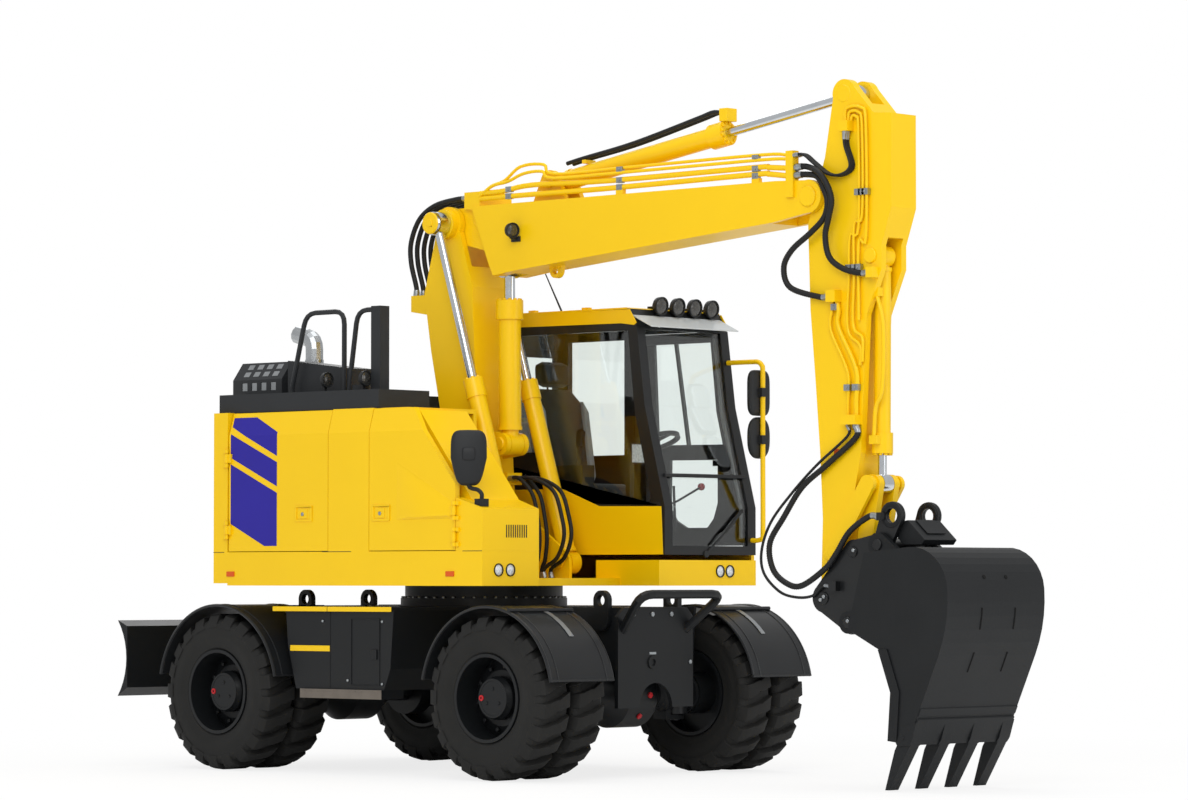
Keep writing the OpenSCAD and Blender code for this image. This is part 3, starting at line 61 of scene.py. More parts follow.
camera_data = bpy.data.cameras.new("photo_camera")
camera_data.sensor_width = 36
camera_data.lens = 133.77
camera_data.clip_end = 200
camera = bpy.data.objects.new("photo_camera", camera_data)
bpy.context.collection.objects.link(camera)
camera.location = (19.938, -21.427, 1.2916)
camera.rotation_euler = (math.pi / 2 + CAMERA_PITCH, 0, CAMERA_TURN)
bpy.context.scene.camera = camera


# Materials

def srgb(code):
    """Linear colour of an sRGB hex value."""
    parts = [int(code[i:i + 2], 16) / 255 for i in (1, 3, 5)]
    return [c / 12.92 if c <= 0.04045 else ((c + 0.055) / 1.055) ** 2.4 for c in parts] + [1.0]


def plug(tree, node, inputs):
    """Sets a node's inputs, each to a value or to another node's output."""
    for name, value in inputs.items():
        if isinstance(value, bpy.types.NodeSocket):
            tree.links.new(value, node.inputs[name])
        else:
            node.inputs[name].default_value = value


def add(tree, kind, inputs=None, **settings):
    """One node with its settings and inputs."""
    node = tree.nodes.new(kind)
    for name, value in settings.items():
        setattr(node, name, value)
    plug(tree, node, inputs or {})
    return node


def blank(name):
    """A material with its Principled shader and the object's own coordinates."""
    made = bpy.data.materials.new(name)
    made.use_nodes = True
    tree = made.node_tree
    place = add(tree, "ShaderNodeTexCoord").outputs["Object"]
    return made, tree, tree.nodes["Principled BSDF"], place


def noise(tree, place, size_mm, detail):
    """Cloudy noise with patches of a size in millimetres."""
    inputs = {"Vector": place, "Scale": 1000 / size_mm, "Detail": detail}
    return add(tree, "ShaderNodeTexNoise", inputs).outputs["Fac"]


def relief(tree, height, strength, depth):
    """The normal of a surface that a height lifts by up to a depth in metres."""
    inputs = {"Height": height, "Strength": strength, "Distance": depth}
    return add(tree, "ShaderNodeBump", inputs).outputs["Normal"]


def tinted(tree, factor, low, high):
    """Colour between two hex values."""
    inputs = {"Factor": factor, "A": srgb(low), "B": srgb(high)}
    return add(tree, "ShaderNodeMix", inputs, data_type="RGBA").outputs["Result"]


def ranged(tree, value, low, high):
    """A 0 to 1 value stretched between two numbers."""
    inputs = {"Value": value, "To Min": low, "To Max": high}
    return add(tree, "ShaderNodeMapRange", inputs).outputs["Result"]


def enamel(name, colour, shade, roughness, coat=0.05, gloss=0.3, peel_mm=6.0, mottle_mm=400.0):
    """Sprayed machine enamel: a glossy film with faint orange peel and slow drifts of tone and dust."""
    made, tree, shader, place = blank(name)
    drift = noise(tree, place, mottle_mm, 6.0)
    peel = noise(tree, place, peel_mm, 2.0)
    plug(tree, shader, {
        "Base Color": tinted(tree, drift, shade, colour),
        "Roughness": ranged(tree, drift, roughness + 0.06, roughness - 0.04),
        "Normal": relief(tree, peel, 0.03, 0.002),
        "Coat Weight": coat,
        "Coat Roughness": 0.12,
        "Specular IOR Level": gloss})
    return made


def rubber(name, grain_mm=5.0, dust_mm=160.0):
    """Moulded tyre rubber: matt, fine grained, with pale dust in the low places."""
    made, tree, shader, place = blank(name)
    grain = noise(tree, place, grain_mm, 5.0)
    dust = noise(tree, place, dust_mm, 6.0)
    plug(tree, shader, {
        "Base Color": tinted(tree, dust, "#121211", "#1e1e1d"),
        "Roughness": 0.72,
        "Normal": relief(tree, grain, 0.2, 0.002),
        "Specular IOR Level": 0.35})
    return made


def hard_chrome(name, colour, shade, roughness, brush_mm, smear_mm=90.0):
    """Ground and chromed steel: mirror bright, with fine rings left by the grinding."""
    made, tree, shader, place = blank(name)
    smear = noise(tree, place, smear_mm, 4.0)
    rings = noise(tree, place, brush_mm, 2.0)
    plug(tree, shader, {
        "Base Color": tinted(tree, smear, shade, colour),
        "Roughness": ranged(tree, rings, roughness, roughness + 0.12),
        "Metallic": 1.0})
    return made


def moulded(name, colour, shade, roughness, grain_mm=2.5, lift_by=0.12, mottle_mm=250.0):
    """Moulded plastic: even colour under a fine spark-eroded grain."""
    made, tree, shader, place = blank(name)
    grain = noise(tree, place, grain_mm, 3.0)
    drift = noise(tree, place, mottle_mm, 4.0)
    plug(tree, shader, {
        "Base Color": tinted(tree, drift, shade, colour),
        "Roughness": ranged(tree, grain, roughness - 0.05, roughness + 0.08),
        "Normal": relief(tree, grain, lift_by, 0.001),
        "Specular IOR Level": 0.3})
    return made


def window_glass(name, dust_mm=300.0):
    """Tinted safety glass: clear, faintly green, a little dusty."""
    made, tree, shader, place = blank(name)
    dust = noise(tree, place, dust_mm, 5.0)
    plug(tree, shader, {
        "Base Color": srgb("#f3f8f6"),
        "Roughness": ranged(tree, dust, 0.0, 0.03),
        "Transmission Weight": 1.0,
        "IOR": 1.45})
    return made


def worn_steel(name, mottle_mm=350.0, stretch=(220.0, 220.0, 9.0)):
    """Digging steel in satin black paint: scratched bright where earth has run along it."""
    made, tree, shader, place = blank(name)
    drift = noise(tree, place, mottle_mm, 7.0)
    long_way = add(tree, "ShaderNodeMapping", {"Vector": place, "Scale": stretch}).outputs["Vector"]
    scratch = noise(tree, long_way, 1000.0, 3.0)
    plug(tree, shader, {
        "Base Color": tinted(tree, drift, "#121416", "#1d1f21"),
        "Roughness": ranged(tree, scratch, 0.42, 0.6),
        "Normal": relief(tree, scratch, 0.08, 0.001),
        "Specular IOR Level": 0.25})
    return made


def seat_cloth(name, dark, pale, thread_mm=18.0):
    """Woven seat cloth: a basket weave, drawn coarse enough to show."""
    made, tree, shader, place = blank(name)
    inputs = {"Vector": place, "Scale": 1000 / thread_mm}
    warp, weft = [add(tree, "ShaderNodeTexWave", inputs, bands_direction=way).outputs["Fac"] for way in "YZ"]
    weave = add(tree, "ShaderNodeMath", {0: warp, 1: weft}, operation="MULTIPLY").outputs["Value"]
    plug(tree, shader, {
        "Base Color": tinted(tree, weave, dark, pale),
        "Roughness": 0.9,
        "Normal": relief(tree, weave, 0.3, 0.002),
        "Sheen Weight": 0.3})
    return made


def lamp_lens(name, pale, deep, prism_mm=14.0):
    """Moulded polycarbonate lens: glossy, with small prisms behind it."""
    made, tree, shader, place = blank(name)
    inputs = {"Vector": place, "Scale": 1000 / prism_mm}
    prisms = add(tree, "ShaderNodeTexVoronoi", inputs).outputs["Distance"]
    plug(tree, shader, {
        "Base Color": tinted(tree, prisms, pale, deep),
        "Roughness": 0.12,
        "Normal": relief(tree, prisms, 0.4, 0.003),
        "Coat Weight": 0.6})
    return made


YELLOW = enamel("yellow_enamel", "#fbce06", "#f5c704", 0.34)
CHARCOAL = enamel("charcoal_enamel", "#191b1d", "#131517", 0.42, gloss=0.25)
HOOD = moulded("hood_coating", "#2b2d30", "#242628", 0.48, grain_mm=4.0)
FENDER = moulded("fender_plastic", "#232527", "#1b1c1e", 0.3, lift_by=0.04)
BLACK = enamel("black_enamel", "#1c1e20", "#151617", 0.36, coat=0.15)
PLASTIC = moulded("black_plastic", "#242628", "#1b1c1e", 0.5)
RUBBER = rubber("tyre_rubber")
CHROME = hard_chrome("chromed_rod", "#dfe3e6", "#c4c9ce", 0.1, 3.0)
STEEL = hard_chrome("stainless_exhaust", "#c9ccce", "#a9adb0", 0.22, 8.0)
ZINC = hard_chrome("zinc_plated_steel", "#b7bcbf", "#8f9498", 0.34, 5.0)
GLASS = window_glass("tinted_glass")
DIGGING = worn_steel("bucket_steel")
CLOTH = seat_cloth("seat_cloth", "#2a2d2f", "#4a4e51")
GREY_CLOTH = seat_cloth("grey_seat_cloth", "#a9adb0", "#c9cdcf")
GREY_PLASTIC = moulded("grey_plastic", "#8d9194", "#7c8083", 0.5)
LENS = lamp_lens("clear_lens", "#f4f6f7", "#b9c0c4")
# Painted shade: a near-black matt finish for flat pieces laid where holes, slots and grille openings would
# show only shade
PAINTED_SHADE = moulded("painted_shade_of_openings", "#060606", "#040404", 0.8, lift_by=0.02)
DARK_LENS = lamp_lens("smoked_lens", "#4a4842", "#232323")
VISOR = moulded("clear_visor", "#cfd4d6", "#bfc5c8", 0.2, lift_by=0.02)
TREAD_PLATE = hard_chrome("step_plate", "#8d857c", "#756e67", 0.45, 7.0)
HOSE = moulded("hose_rubber", "#202122", "#161718", 0.55, grain_mm=3.0)
BLUE = enamel("blue_film", "#271c9c", "#221890", 0.34)
ORANGE = moulded("orange_marker", "#e2601d", "#cf5216", 0.25, lift_by=0.03)
RED = moulded("red_plastic", "#c4222a", "#ab1b22", 0.3, lift_by=0.03)
ALUMINIUM = hard_chrome("brushed_aluminium", "#b5b8ba", "#94989b", 0.38, 6.0)

CORNERS = ["front_left", "front_right", "rear_left", "rear_right"]
FINISHES = {
    YELLOW: ["upper_frame", "counterweight", "housing_panels", "front_box", "right_rear_door",
             "right_front_door", "left_service_door", "boom_lower", "boom_upper", "boom_cylinder_barrels",
             "adjust_cylinder_barrel", "arm", "arm_cylinder_barrel", "bucket_cylinder_barrel",
             "bucket_levers", "push_link"],
    CHARCOAL: ["chassis_frame", "side_boxes", "slew_bearing", "front_axle", "rear_axle", "transmission",
               "engine", "blade_arms", "blade", "blade_cylinder_barrels"]
    + [f"rims_{corner}" for corner in CORNERS],
    HOOD: ["engine_hood", "deck_trim", "rails"],
    FENDER: ["rear_fenders", "knuckle_left", "knuckle_right"],
    RUBBER: [f"tyres_{corner}" for corner in CORNERS],
    CHROME: ["boom_cylinder_rods", "adjust_cylinder_rod", "arm_cylinder_rod", "bucket_cylinder_rod",
             "blade_cylinder_rods"],
    STEEL: ["exhaust_stack"],
    BLACK: ["cab_shell", "cab_door", "coupler"],
    PLASTIC: ["mirrors", "controls"],
    GLASS: ["cab_glass", "cab_door_glass"],
    DIGGING: ["bucket"],
    CLOTH: ["seat"],
    LENS: ["lamps"],
    HOSE: ["foot_hoses", "knuckle_hoses", "arm_hoses", "tool_hoses"],
}
for finish, names in FINISHES.items():
    for name in names:
        nodes[name].data.materials.clear()
        nodes[name].data.materials.append(finish)


# Shapes: each helper adds to one workpiece, in millimetres from the slewing centre, which make() empties

shape = bmesh.new()


def polar(radius, turn):
    """The two parts of a radius at an angle in degrees."""
    angle = math.radians(turn)
    return radius * math.cos(angle), radius * math.sin(angle)


def axes(axis):
    """A direction, and two more square to it."""
    lead = Vector(axis).normalized()
    side = lead.orthogonal().normalized()
    return lead, side, lead.cross(side)


def loop_faces(rings):
    """Skins a row of rings of points, and closes its two ends."""
    made = [[shape.verts.new(p) for p in ring] for ring in rings]
    for a, b in zip(made, made[1:]):
        for i in range(len(a)):
            j = (i + 1) % len(a)
            shape.faces.new((a[i], a[j], b[j], b[i]))
    shape.faces.new(made[0])
    shape.faces.new(list(reversed(made[-1])))


def slab(outline, y0, y1):
    """A solid with an outline in X and Z, from y0 to y1."""
    loop_faces([[at(x, y, z) for x, z in outline] for y in (y0, y1)])


def box(low, high):
    """A block between two corners."""
    (x0, y0, z0), (x1, y1, z1) = low, high
    slab([(x0, z0), (x1, z0), (x1, z1), (x0, z1)], y0, y1)


def turned(section, centre, axis, steps=32):
    """A section of (along, radius) pairs turned about an axis through a centre."""
    lead, side, other = axes(axis)
    middle = at(*centre)
    columns = []
    for i in range(steps):
        a = math.radians(360.0 * i / steps)
        out = math.cos(a) * side + math.sin(a) * other
        columns.append([shape.verts.new(middle + lead * (s / 1000) + out * (r / 1000)) for s, r in section])
    for i in range(steps):
        a, b = columns[i], columns[(i + 1) % steps]
        for k in range(len(section) - 1):
            shape.faces.new((a[k], a[k + 1], b[k + 1], b[k]))


def disc(centre, axis, radius, depth, steps=24, lip=0.0):
    """A round plate with a small chamfer at its outer face."""
    turned([(0, 0.01), (0, radius), (depth - lip, radius), (depth, radius - lip), (depth, 0.01)],
           centre, axis, steps)


def smooth_path(points, steps=6):
    """Points on a curve through the given ones."""
    ends = [2 * points[0] - points[1]] + list(points) + [2 * points[-1] - points[-2]]
    path = []
    for i in range(1, len(ends) - 2):
        a, b, c, d = ends[i - 1:i + 3]
        for k in range(steps):
            t = k / steps
            path.append(0.5 * (2 * b + (c - a) * t + (2 * a - 5 * b + 4 * c - d) * t ** 2
                               + (3 * b - a - 3 * c + d) * t ** 3))
    return path + [points[-1]]


def tube(path, radius, sides=12):
    """A round tube along points in the model's frame; the radius is in millimetres, one or one per point."""
    radii = radius if isinstance(radius, list) else [radius] * len(path)
    lead = (path[1] - path[0]).normalized()
    side = lead.orthogonal().normalized()
    rings = []
    for i, p in enumerate(path):
        way = (path[min(i + 1, len(path) - 1)] - path[max(i - 1, 0)]).normalized()
        side = (side - way * side.dot(way)).normalized()
        other = way.cross(side)
        rings.append([p + (math.cos(a) * side + math.sin(a) * other) * (radii[i] / 1000)
                      for a in (2 * math.pi * k / sides for k in range(sides))])
    loop_faces(rings)


def run(points, radius, sides=12, steps=6):
    """A round tube along a smooth curve through points in millimetres."""
    tube(smooth_path([at(*p) for p in points], steps), radius, sides)


def level(route, y):
    """Points of X and Z laid at one Y."""
    return [(x, y, z) for x, z in route]


def bolts(centre, axis, circle, count, head=11.0, height=9.0):
    """A ring of hexagon bolt heads round a centre."""
    lead, side, other = axes(axis)
    section = [(0, 0.01), (0, head), (height * 0.8, head), (height, head * 0.8), (height, 0.01)]
    for i in range(count):
        a = math.radians(360 * i / count)
        off = (math.cos(a) * side + math.sin(a) * other) * circle
        turned(section, (centre[0] + off.x, centre[1] + off.y, centre[2] + off.z), axis, 6)


SHARP_EDGE = math.radians(38)
ROUNDED_EDGE = math.radians(40)


def mesh_of(name, finish):
    """A smooth mesh from the workpiece, with its material but no body yet."""
    bmesh.ops.recalc_face_normals(shape, faces=shape.faces)
    mesh = bpy.data.meshes.new(name)
    shape.to_mesh(mesh)
    shape.clear()
    mesh.materials.append(finish)
    mesh.shade_smooth()
    made = bpy.data.objects.new(name, mesh)
    bpy.context.collection.objects.link(made)
    return made


def make(name, finish, body="upperstructure", edge_mm=0.0, stands_for=()):
    """Turns the workpiece into a piece that rides on a body, with its edges rounded."""
    bmesh.ops.remove_doubles(shape, verts=shape.verts, dist=1e-6)
    made = mesh_of(name, finish)
    made.data.set_sharp_from_angle(angle=SHARP_EDGE)
    if edge_mm:
        rounding = made.modifiers.new("edges", "BEVEL")
        rounding.width = edge_mm / 1000
        rounding.segments = 2
        rounding.limit_method = "ANGLE"
        rounding.angle_limit = ROUNDED_EDGE
        rounding.harden_normals = True
    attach(made, body)
    for node in stands_for:
        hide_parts(node)
    return made


# Tyres: a carcass with beads and ribs, and two rows of lugs that meet near the middle

TYRE_R = 527.5
TYRE_W = 278.0
AXLE_Z = 527.5
AXLES = {"front": 1255.0, "rear": -1295.0}
SIDES = {"left": 1, "right": -1}
PAIR = (818.0, 1136.0)
RIM_Y = 1116.0
HUB_Y = 1199.0
LUGS = 21


def tyre(x, y, side):
    """A tyre: its carcass turned about the axle, and its lugs."""
    carcass = TYRE_R - 34
    half = TYRE_W / 2
    bead = 286.0
    profile = [(-half + 26, bead), (-half + 16, bead + 14), (-half + 17, bead + 28), (-half + 4, bead + 62),
               (-half, bead + 110), (-half + 5, carcass - 62), (-half + 2, carcass - 52),
               (-half + 2, carcass - 40), (-half + 20, carcass - 12), (-half + 46, carcass)]
    profile += [(-s, r) for s, r in reversed(profile)]
    profile.append(profile[0])
    turned(profile, (x, y, AXLE_Z), (0, 1, 0), 72)
    step = 360.0 / LUGS
    for row in (1, -1):
        for i in range(LUGS):
            lug(x, y, row, step * (i + (0.25 if row > 0 else 0.75)) + 7 * side, carcass, half)


def lug(x, y, row, turn, carcass, half):
    """One lug: it starts down on the shoulder, and sweeps back towards the middle of the tread."""
    across = [half + 1, half - 26, half - 62, half - 105, half - 146]
    tops = [TYRE_R - 62, TYRE_R - 10, TYRE_R, TYRE_R, TYRE_R]
    roots = [carcass - 60, carcass - 24, carcass - 5, carcass - 3, carcass - 3]
    sweep = [0.0, 0.0, 1.2, 3.2, 5.0]
    widths = [5.4, 5.2, 4.9, 4.4, 3.6]
    rings = []
    for s, top, root, lag, wide in zip(across, tops, roots, sweep, widths):
        ring = []
        for angle, radius in ((wide + 0.9, root), (wide, top), (-wide, top), (-wide - 0.9, root)):
            a = math.radians(turn + row * lag + angle)
            ring.append(at(x + radius * math.sin(a), y + row * s, AXLE_Z + radius * math.cos(a)))
        rings.append(ring)
    loop_faces(rings)


def wheels():
    for axle, x in AXLES.items():
        for side_name, side in SIDES.items():
            corner = f"{axle}_{side_name}"
            body = f"wheel_{corner}"
            out = (0, side, 0)
            for k, y in enumerate(PAIR):
                tyre(x, side * y, side + k)
            make(f"tread_{corner}", RUBBER, body, 4.0, stands_for=[f"tyres_{corner}"])
            bolts((x, side * RIM_Y, AXLE_Z), out, 205, 10, 15, 14)
            for turn in (90, 210, 330):
                along, up = polar(62, turn)
                disc((x + along, side * HUB_Y, AXLE_Z + up), out, 13, 6, 6, 2)
            turned([(0, 128), (4, 126), (4, 112), (0, 110)], (x, side * HUB_Y, AXLE_Z), out, 48)
            make(f"wheel_bolts_{corner}", CHARCOAL, body, 1.5)
            plug_section = [(0, 20), (6, 19), (7, 15), (7, 8), (2, 7)]
            turned(plug_section, (x - 100, side * HUB_Y, AXLE_Z), out, 24)
            make(f"hub_plugs_{corner}", RED, body)


wheels()


# Right side of the housing: blue bands, latches, pressed facet, markers and lamps

HALF_W = 1230.0
CREASE_Z = 2255.5
HOUSING_Z = 2415.5
LEAN = 45.0
BOX_X = 1190.0
GUARD_X = -1390.0
GUARD_Y = -955.0


def side_y(z):
    """The housing's right face at a height: upright up to the crease, then leaning in."""
    return -HALF_W + LEAN * max(0.0, z - CREASE_Z) / (HOUSING_Z - CREASE_Z)


def film(outline, proud=1.2):
    """A thin film on the right face, bent at the crease."""
    below = clipped(outline, lambda p: CREASE_Z - p[1])
    above = clipped(outline, lambda p: p[1] - CREASE_Z)
    for part in (below, above):
        if len(part) > 2:
            loop_faces([[at(x, side_y(z) - d, z) for x, z in part] for d in (-1.0, proud)])


def clipped(outline, inside):
    """The part of an outline where a measure is positive."""
    kept = []
    for i, p in enumerate(outline):
        q = outline[(i + 1) % len(outline)]
        a, b = inside(p), inside(q)
        if a >= 0:
            kept.append(p)
        if a * b < 0:
            t = a / (a - b)
            kept.append((p[0] + t * (q[0] - p[0]), p[1] + t * (q[1] - p[1])))
    return kept


def door_bands():
    film([(-1198, 2380), (-975, 2380), (-740, 2275), (-740, 2115), (-1198, 2318)])
    film([(-1198, 2270), (-740, 2073), (-740, 1911), (-1198, 2110)])
    film([(-1198, 2066), (-740, 1867), (-740, 1511), (-862, 1511), (-1198, 1662)])
    make("blue_bands", BLUE, "right_rear_door_body")


def latch(name, x, z, body, side=-1):
    """A pressed square frame with a round lock in its recess."""
    y = side * HALF_W
    outer, inner = 82.0, 66.0
    y0, y1 = sorted((y - side, y + side * 7))
    for low, high in (((-outer, -54), (outer, -42)), ((-outer, 42), (outer, 54)),
                      ((-outer, -42), (-inner, 42)), ((inner, -42), (outer, 42))):
        box((x + low[0], y0, z + low[1]), (x + high[0], y1, z + high[1]))
    y0, y1 = sorted((y, y + side * 4))
    box((x - 34, y0, z - 34), (x + 34, y1, z + 34))
    make(f"latch_{name}", YELLOW, body, 2.0)
    disc((x - 8, y + side * 4, z - 4), (0, side, 0), 13, 6, 20, 2)
    make(f"lock_{name}", ZINC, body)


def front_facet():
    """The pressed triangular facet on the front door, standing a little proud."""
    rim = [(404, 2060), (915, 1792), (915, 1678), (404, 1674)]
    inner = [(560, 1925), (890, 1772), (890, 1700), (520, 1690)]
    outside = [shape.verts.new(at(x, -HALF_W + 0.5, z)) for x, z in rim]
    raised = [shape.verts.new(at(x, -HALF_W - 16, z)) for x, z in inner]
    for i in range(4):
        j = (i + 1) % 4
        shape.faces.new((outside[i], outside[j], raised[j], raised[i]))
    shape.faces.new(raised)
    shape.faces.new(list(reversed(outside)))
    make("front_door_facet", YELLOW, "right_front_door_body", 3.0)


def lamp(name, centre, axis, radius, body="upperstructure", lens=DARK_LENS, shell=PLASTIC):
    """A round work lamp: a housing with a rim, and a lens set in it."""
    rear = -radius * 0.9
    turned([(rear, 0.01), (rear, radius * 0.5), (-radius * 0.5, radius * 0.92), (0, radius), (6, radius),
            (6, radius * 0.86), (0, radius * 0.84)], centre, axis, 28)
    make(f"{name}_shell", shell, body, 1.0)
    turned([(-2, radius * 0.86), (3, radius * 0.6), (6, radius * 0.3), (7, 0.01)], centre, axis, 28)
    make(f"{name}_lens", lens, body)


def housing_details():
    door_bands()
    latch("rear", -476, 1725, "right_rear_door_body")
    latch("front", 262, 1723, "right_front_door_body")
    front_facet()
    for x in (-1195, 900):
        box((x - 38, -HALF_W - 8, 1306), (x + 38, -HALF_W + 1, 1340))
    make("side_markers", ORANGE, edge_mm=3.0)
    for i, y in enumerate((-1082, -973)):
        lamp(f"headlamp_{i}", (BOX_X + 1, y, 1348), (1, 0, 0), 42, lens=LENS, shell=CHARCOAL)
    # Seam above the skirt, and the screen behind the guard's rows of square holes
    for low, high in ((-1370, -1262), (-300, -22), (1012, 1188)):
        film([(low, 1468), (high, 1468), (high, 1472), (low, 1472)], 0.8)
    make("skirt_seam", PLASTIC)
    for i in range(4):
        x = GUARD_X + 95 * i
        box((x + 1, GUARD_Y + 4, 2576), (x + 54, GUARD_Y + 8, 2629))
        for up in (0.18, 0.6):
            foot, head = [(GUARD_Y + 90 * t, 2650.5 + 120 * t) for t in (up, up + 0.27)]
            lift = Vector((0, -0.8, 0.6)) * 1.5
            loop_faces([[at(x + u, y + lift.y * k, z + lift.z * k) for u, (y, z) in
                         ((0, foot), (55, foot), (55, head), (0, head))] for k in (-1, 1)])
    make("guard_screen", ALUMINIUM)
    # Air slots of the front box, drawn as black plastic strips: painted shade in place of real openings
    for i in range(10):
        y = -1011 + i * 20.5
        box((BOX_X - 1, y, 1557), (BOX_X + 1.5, y + 9, 1639))
    make("box_slot_shade", PLASTIC)


housing_details()


# Hoses and pipes of the boom and the arm

BOOM_Y = -100.0
BOOM_FACE = -265.0
ARM_FACE = -222.0
ARM_PIPE_Y = ARM_FACE - 18
BOOM_CYLINDERS_Y = (-365, 165)
BOOM_FACES = (BOOM_FACE, 65)
ARM_FACES = (ARM_FACE, 22)
LUG_FACES = (-205, 5)

# Pins in X and Z: the cylinders' feet and eyes, and the joints of boom and arm
ARM_PIN = (3108, 3695.5)
ARM_FOOT = (800, 3930.5)
ARM_EYE = (3365, 4328.5)
BUCKET_FOOT = (3580, 3300.5)
BUCKET_EYE = (3570, 1880.5)
ADJUST_FOOT = (345, 2195.5)
ADJUST_EYE = (335, 3390.5)
BOOM_PIN = (130, 1720.5)
BOOM_FOOT = (640, 1400.5)
BOOM_EYE = (-85, 3690.5)

# Hoses: radii in millimetres, steps and the ferrules' length in metres, and points that they run through
HOSE_R = 17.0
FOOT_HOSE_R = 14.0
THICK_R = 19.0
THIN_R = 9.0
PLAIN_STEP = 0.02
RIB_STEP = 0.0075
FERRULE = 0.055
KNUCKLE_ROUTE = [(-424, 3222.3), (-424, 3280), (-475, 3450), (-475, 3595), (-392, 3748), (-244, 3831),
                 (-40, 3862), (59.7, 3862)]
FOOT_ROUTES = [
    [(305.3, 1965), (400, 1965), (520, 1860), (570, 1704), (590, 1565), (575, 1430), (546, 1360),
     (546, 1295.8)],
    [(305.3, 1965), (480, 1965), (680, 1880), (760, 1704), (780, 1565), (715, 1430), (600, 1360),
     (600, 1295.8)]]
THIN_ARM_ROUTE = [(3000.3, 3960), (3076, 3960), (3160, 3901), (3268, 3829), (3376, 3813), (3459, 3863),
                  (3415, 4000), (3415, 4084.7)]
LOW_ARM_ROUTE = [
    (3000.3, -256, 3834), (3090, -256, 3834), (3195, -276, 3812), (3255, -288, 3735), (3290, -292, 3650),
    (3262, -292, 3550), (3150, -290, 3460), (2995, -288, 3360), (2925, -285, 3252), (2975, -280, 3125),
    (3190, -256, 3058), (3269.7, -256, 3058)]
HIGH_ARM_ROUTE = [
    (3000.3, -256, 3884), (3090, -256, 3884), (3235, -312, 3835), (3310, -314, 3745), (3340, -312, 3650),
    (3310, -305, 3545), (3275, -295, 3430), (3300, -285, 3300), (3401, -275, 3225), (3520, -256, 3192),
    (3594.7, -256, 3192)]
THIN_TOOL_ROUTE = [
    (3411, -246, 2249.7), (3411, -246, 2180), (3172, -262, 2001), (2983, -276, 1831), (2820, -290, 1650),
    (2750, -300, 1472), (2773, -306, 1327), (2906, -310, 1211), (3048, -312, 1175), (3180, -313, 1185),
    (3262, -313, 1245), (3329.7, -313, 1245)]
THICK_TOOL_ROUTE = [
    (3478, -246, 2249.7), (3478, -246, 2170), (3247, -256, 2000), (3059, -268, 1866), (2920, -282, 1680),
    (2815, -296, 1515), (2849, -308, 1355), (2963, -316, 1266), (3095, -320, 1247), (3283, -322, 1348),
    (3376, -322, 1440), (3488, -322, 1582), (3640, -318, 1675), (3717.7, -318, 1675)]


def evenly(path, step):
    """The path's points again, a fixed step apart in metres."""
    spots = [path[0]]
    left = step
    for a, b in zip(path, path[1:]):
        length = (b - a).length
        while left < length:
            spots.append(a.lerp(b, left / length))
            left += step
        left -= length
    return spots + [path[-1]]


def hose(name, route, radius, first, second, node, ribbed=False):
    """A hose between two bodies, and its two ferrules, which ride on them."""
    path = evenly(smooth_path([at(*p) for p in route], 10), RIB_STEP if ribbed else PLAIN_STEP)
    radii = [radius + (0.9 if i % 2 else -1.4) for i in range(len(path))] if ribbed else radius
    tube(path, radii, 12)
    made = mesh_of(name, HOSE)
    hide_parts(node)
    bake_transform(made)
    for end, body, spots in (("start", first, path), ("end", second, list(reversed(path)))):
        reach = next(i for i, p in enumerate(spots) if (p - spots[0]).length > FERRULE)
        tube(spots[:reach], [radius + (5 if i < reach * 0.4 else 2.5) for i in range(reach)], 12)
        make(f"{name}_{end}", ZINC, body)


def hoses():
    for i, y in enumerate((-230, -165, -100, -35, 30)):
        hose(f"knuckle_hose_{i}", level(KNUCKLE_ROUTE, y), HOSE_R, "boom_lower_body", "boom_upper_body",
             "knuckle_hoses")
    for i, y in enumerate((-70, -35, 0, 35)):
        hose(f"foot_hose_{i}", list(reversed(level(FOOT_ROUTES[i % 2], y))), FOOT_HOSE_R, "upperstructure",
             "boom_lower_body", "foot_hoses")
    for i, y in enumerate((-237, -256, -275)):
        hose(f"thin_arm_hose_{i}", level(THIN_ARM_ROUTE, y), THIN_R, "boom_upper_body", "arm_body",
             "arm_hoses")
    hose("low_arm_hose", LOW_ARM_ROUTE, THICK_R, "boom_upper_body", "arm_body", "arm_hoses", True)
    hose("high_arm_hose", HIGH_ARM_ROUTE, THICK_R, "boom_upper_body", "arm_body", "arm_hoses", True)
    hose("thin_tool_hose", THIN_TOOL_ROUTE, THIN_R, "arm_body", "bucket_body", "tool_hoses")
    hose("thick_tool_hose", THICK_TOOL_ROUTE, THICK_R, "arm_body", "bucket_body", "tool_hoses", True)


BOOM_PIPES = [
    (18, -246, [(206, 3850), (700, 3852), (1368, 3850), (2641, 3862), (2760, 3858), (2938, 3834)]),
    (18, -246,
     [(206, 3886), (420, 3890), (694, 3915), (1400, 3900), (2641, 3906), (2760, 3900), (2938, 3884)]),
    (11, -241, [(206, 3872), (300, 3930), (430, 3962), (576, 4045), (788, 4045), (893, 3975), (1600, 3978),
                (2700, 3984), (2938, 3966)]),
    (11, -256, [(206, 3868), (330, 3930), (470, 3950), (620, 3995), (788, 3998), (900, 3946), (1600, 3946),
                (2700, 3950), (2938, 3942)]),
]
ARM_PIPES = [
    (11, [(3290, 3020), (3280, 2963), (3275, 2840), (3411, 2578), (3411, 2400), (3411, 2311)]),
    (15, [(3325, 3020), (3338, 2961), (3338, 2860), (3478, 2598), (3478, 2398), (3478, 2311)]),
    (10, [(3440, 4151), (3452, 4180), (3485, 4170), (3500, 4100), (3500, 3480), (3430, 3430), (3421, 3181),
          (3412, 2846), (3510, 2741), (3510, 2620)]),
    (10, [(3418, 4151), (3430, 4205), (3500, 4200), (3530, 4110), (3530, 3560), (3464, 3500), (3464, 3179),
          (3456, 2867), (3528, 2790), (3528, 2640)]),
    (10, [(3395, 4151), (3405, 4230), (3520, 4228), (3560, 4120), (3560, 3420), (3500, 3380), (3500, 2900)]),
]


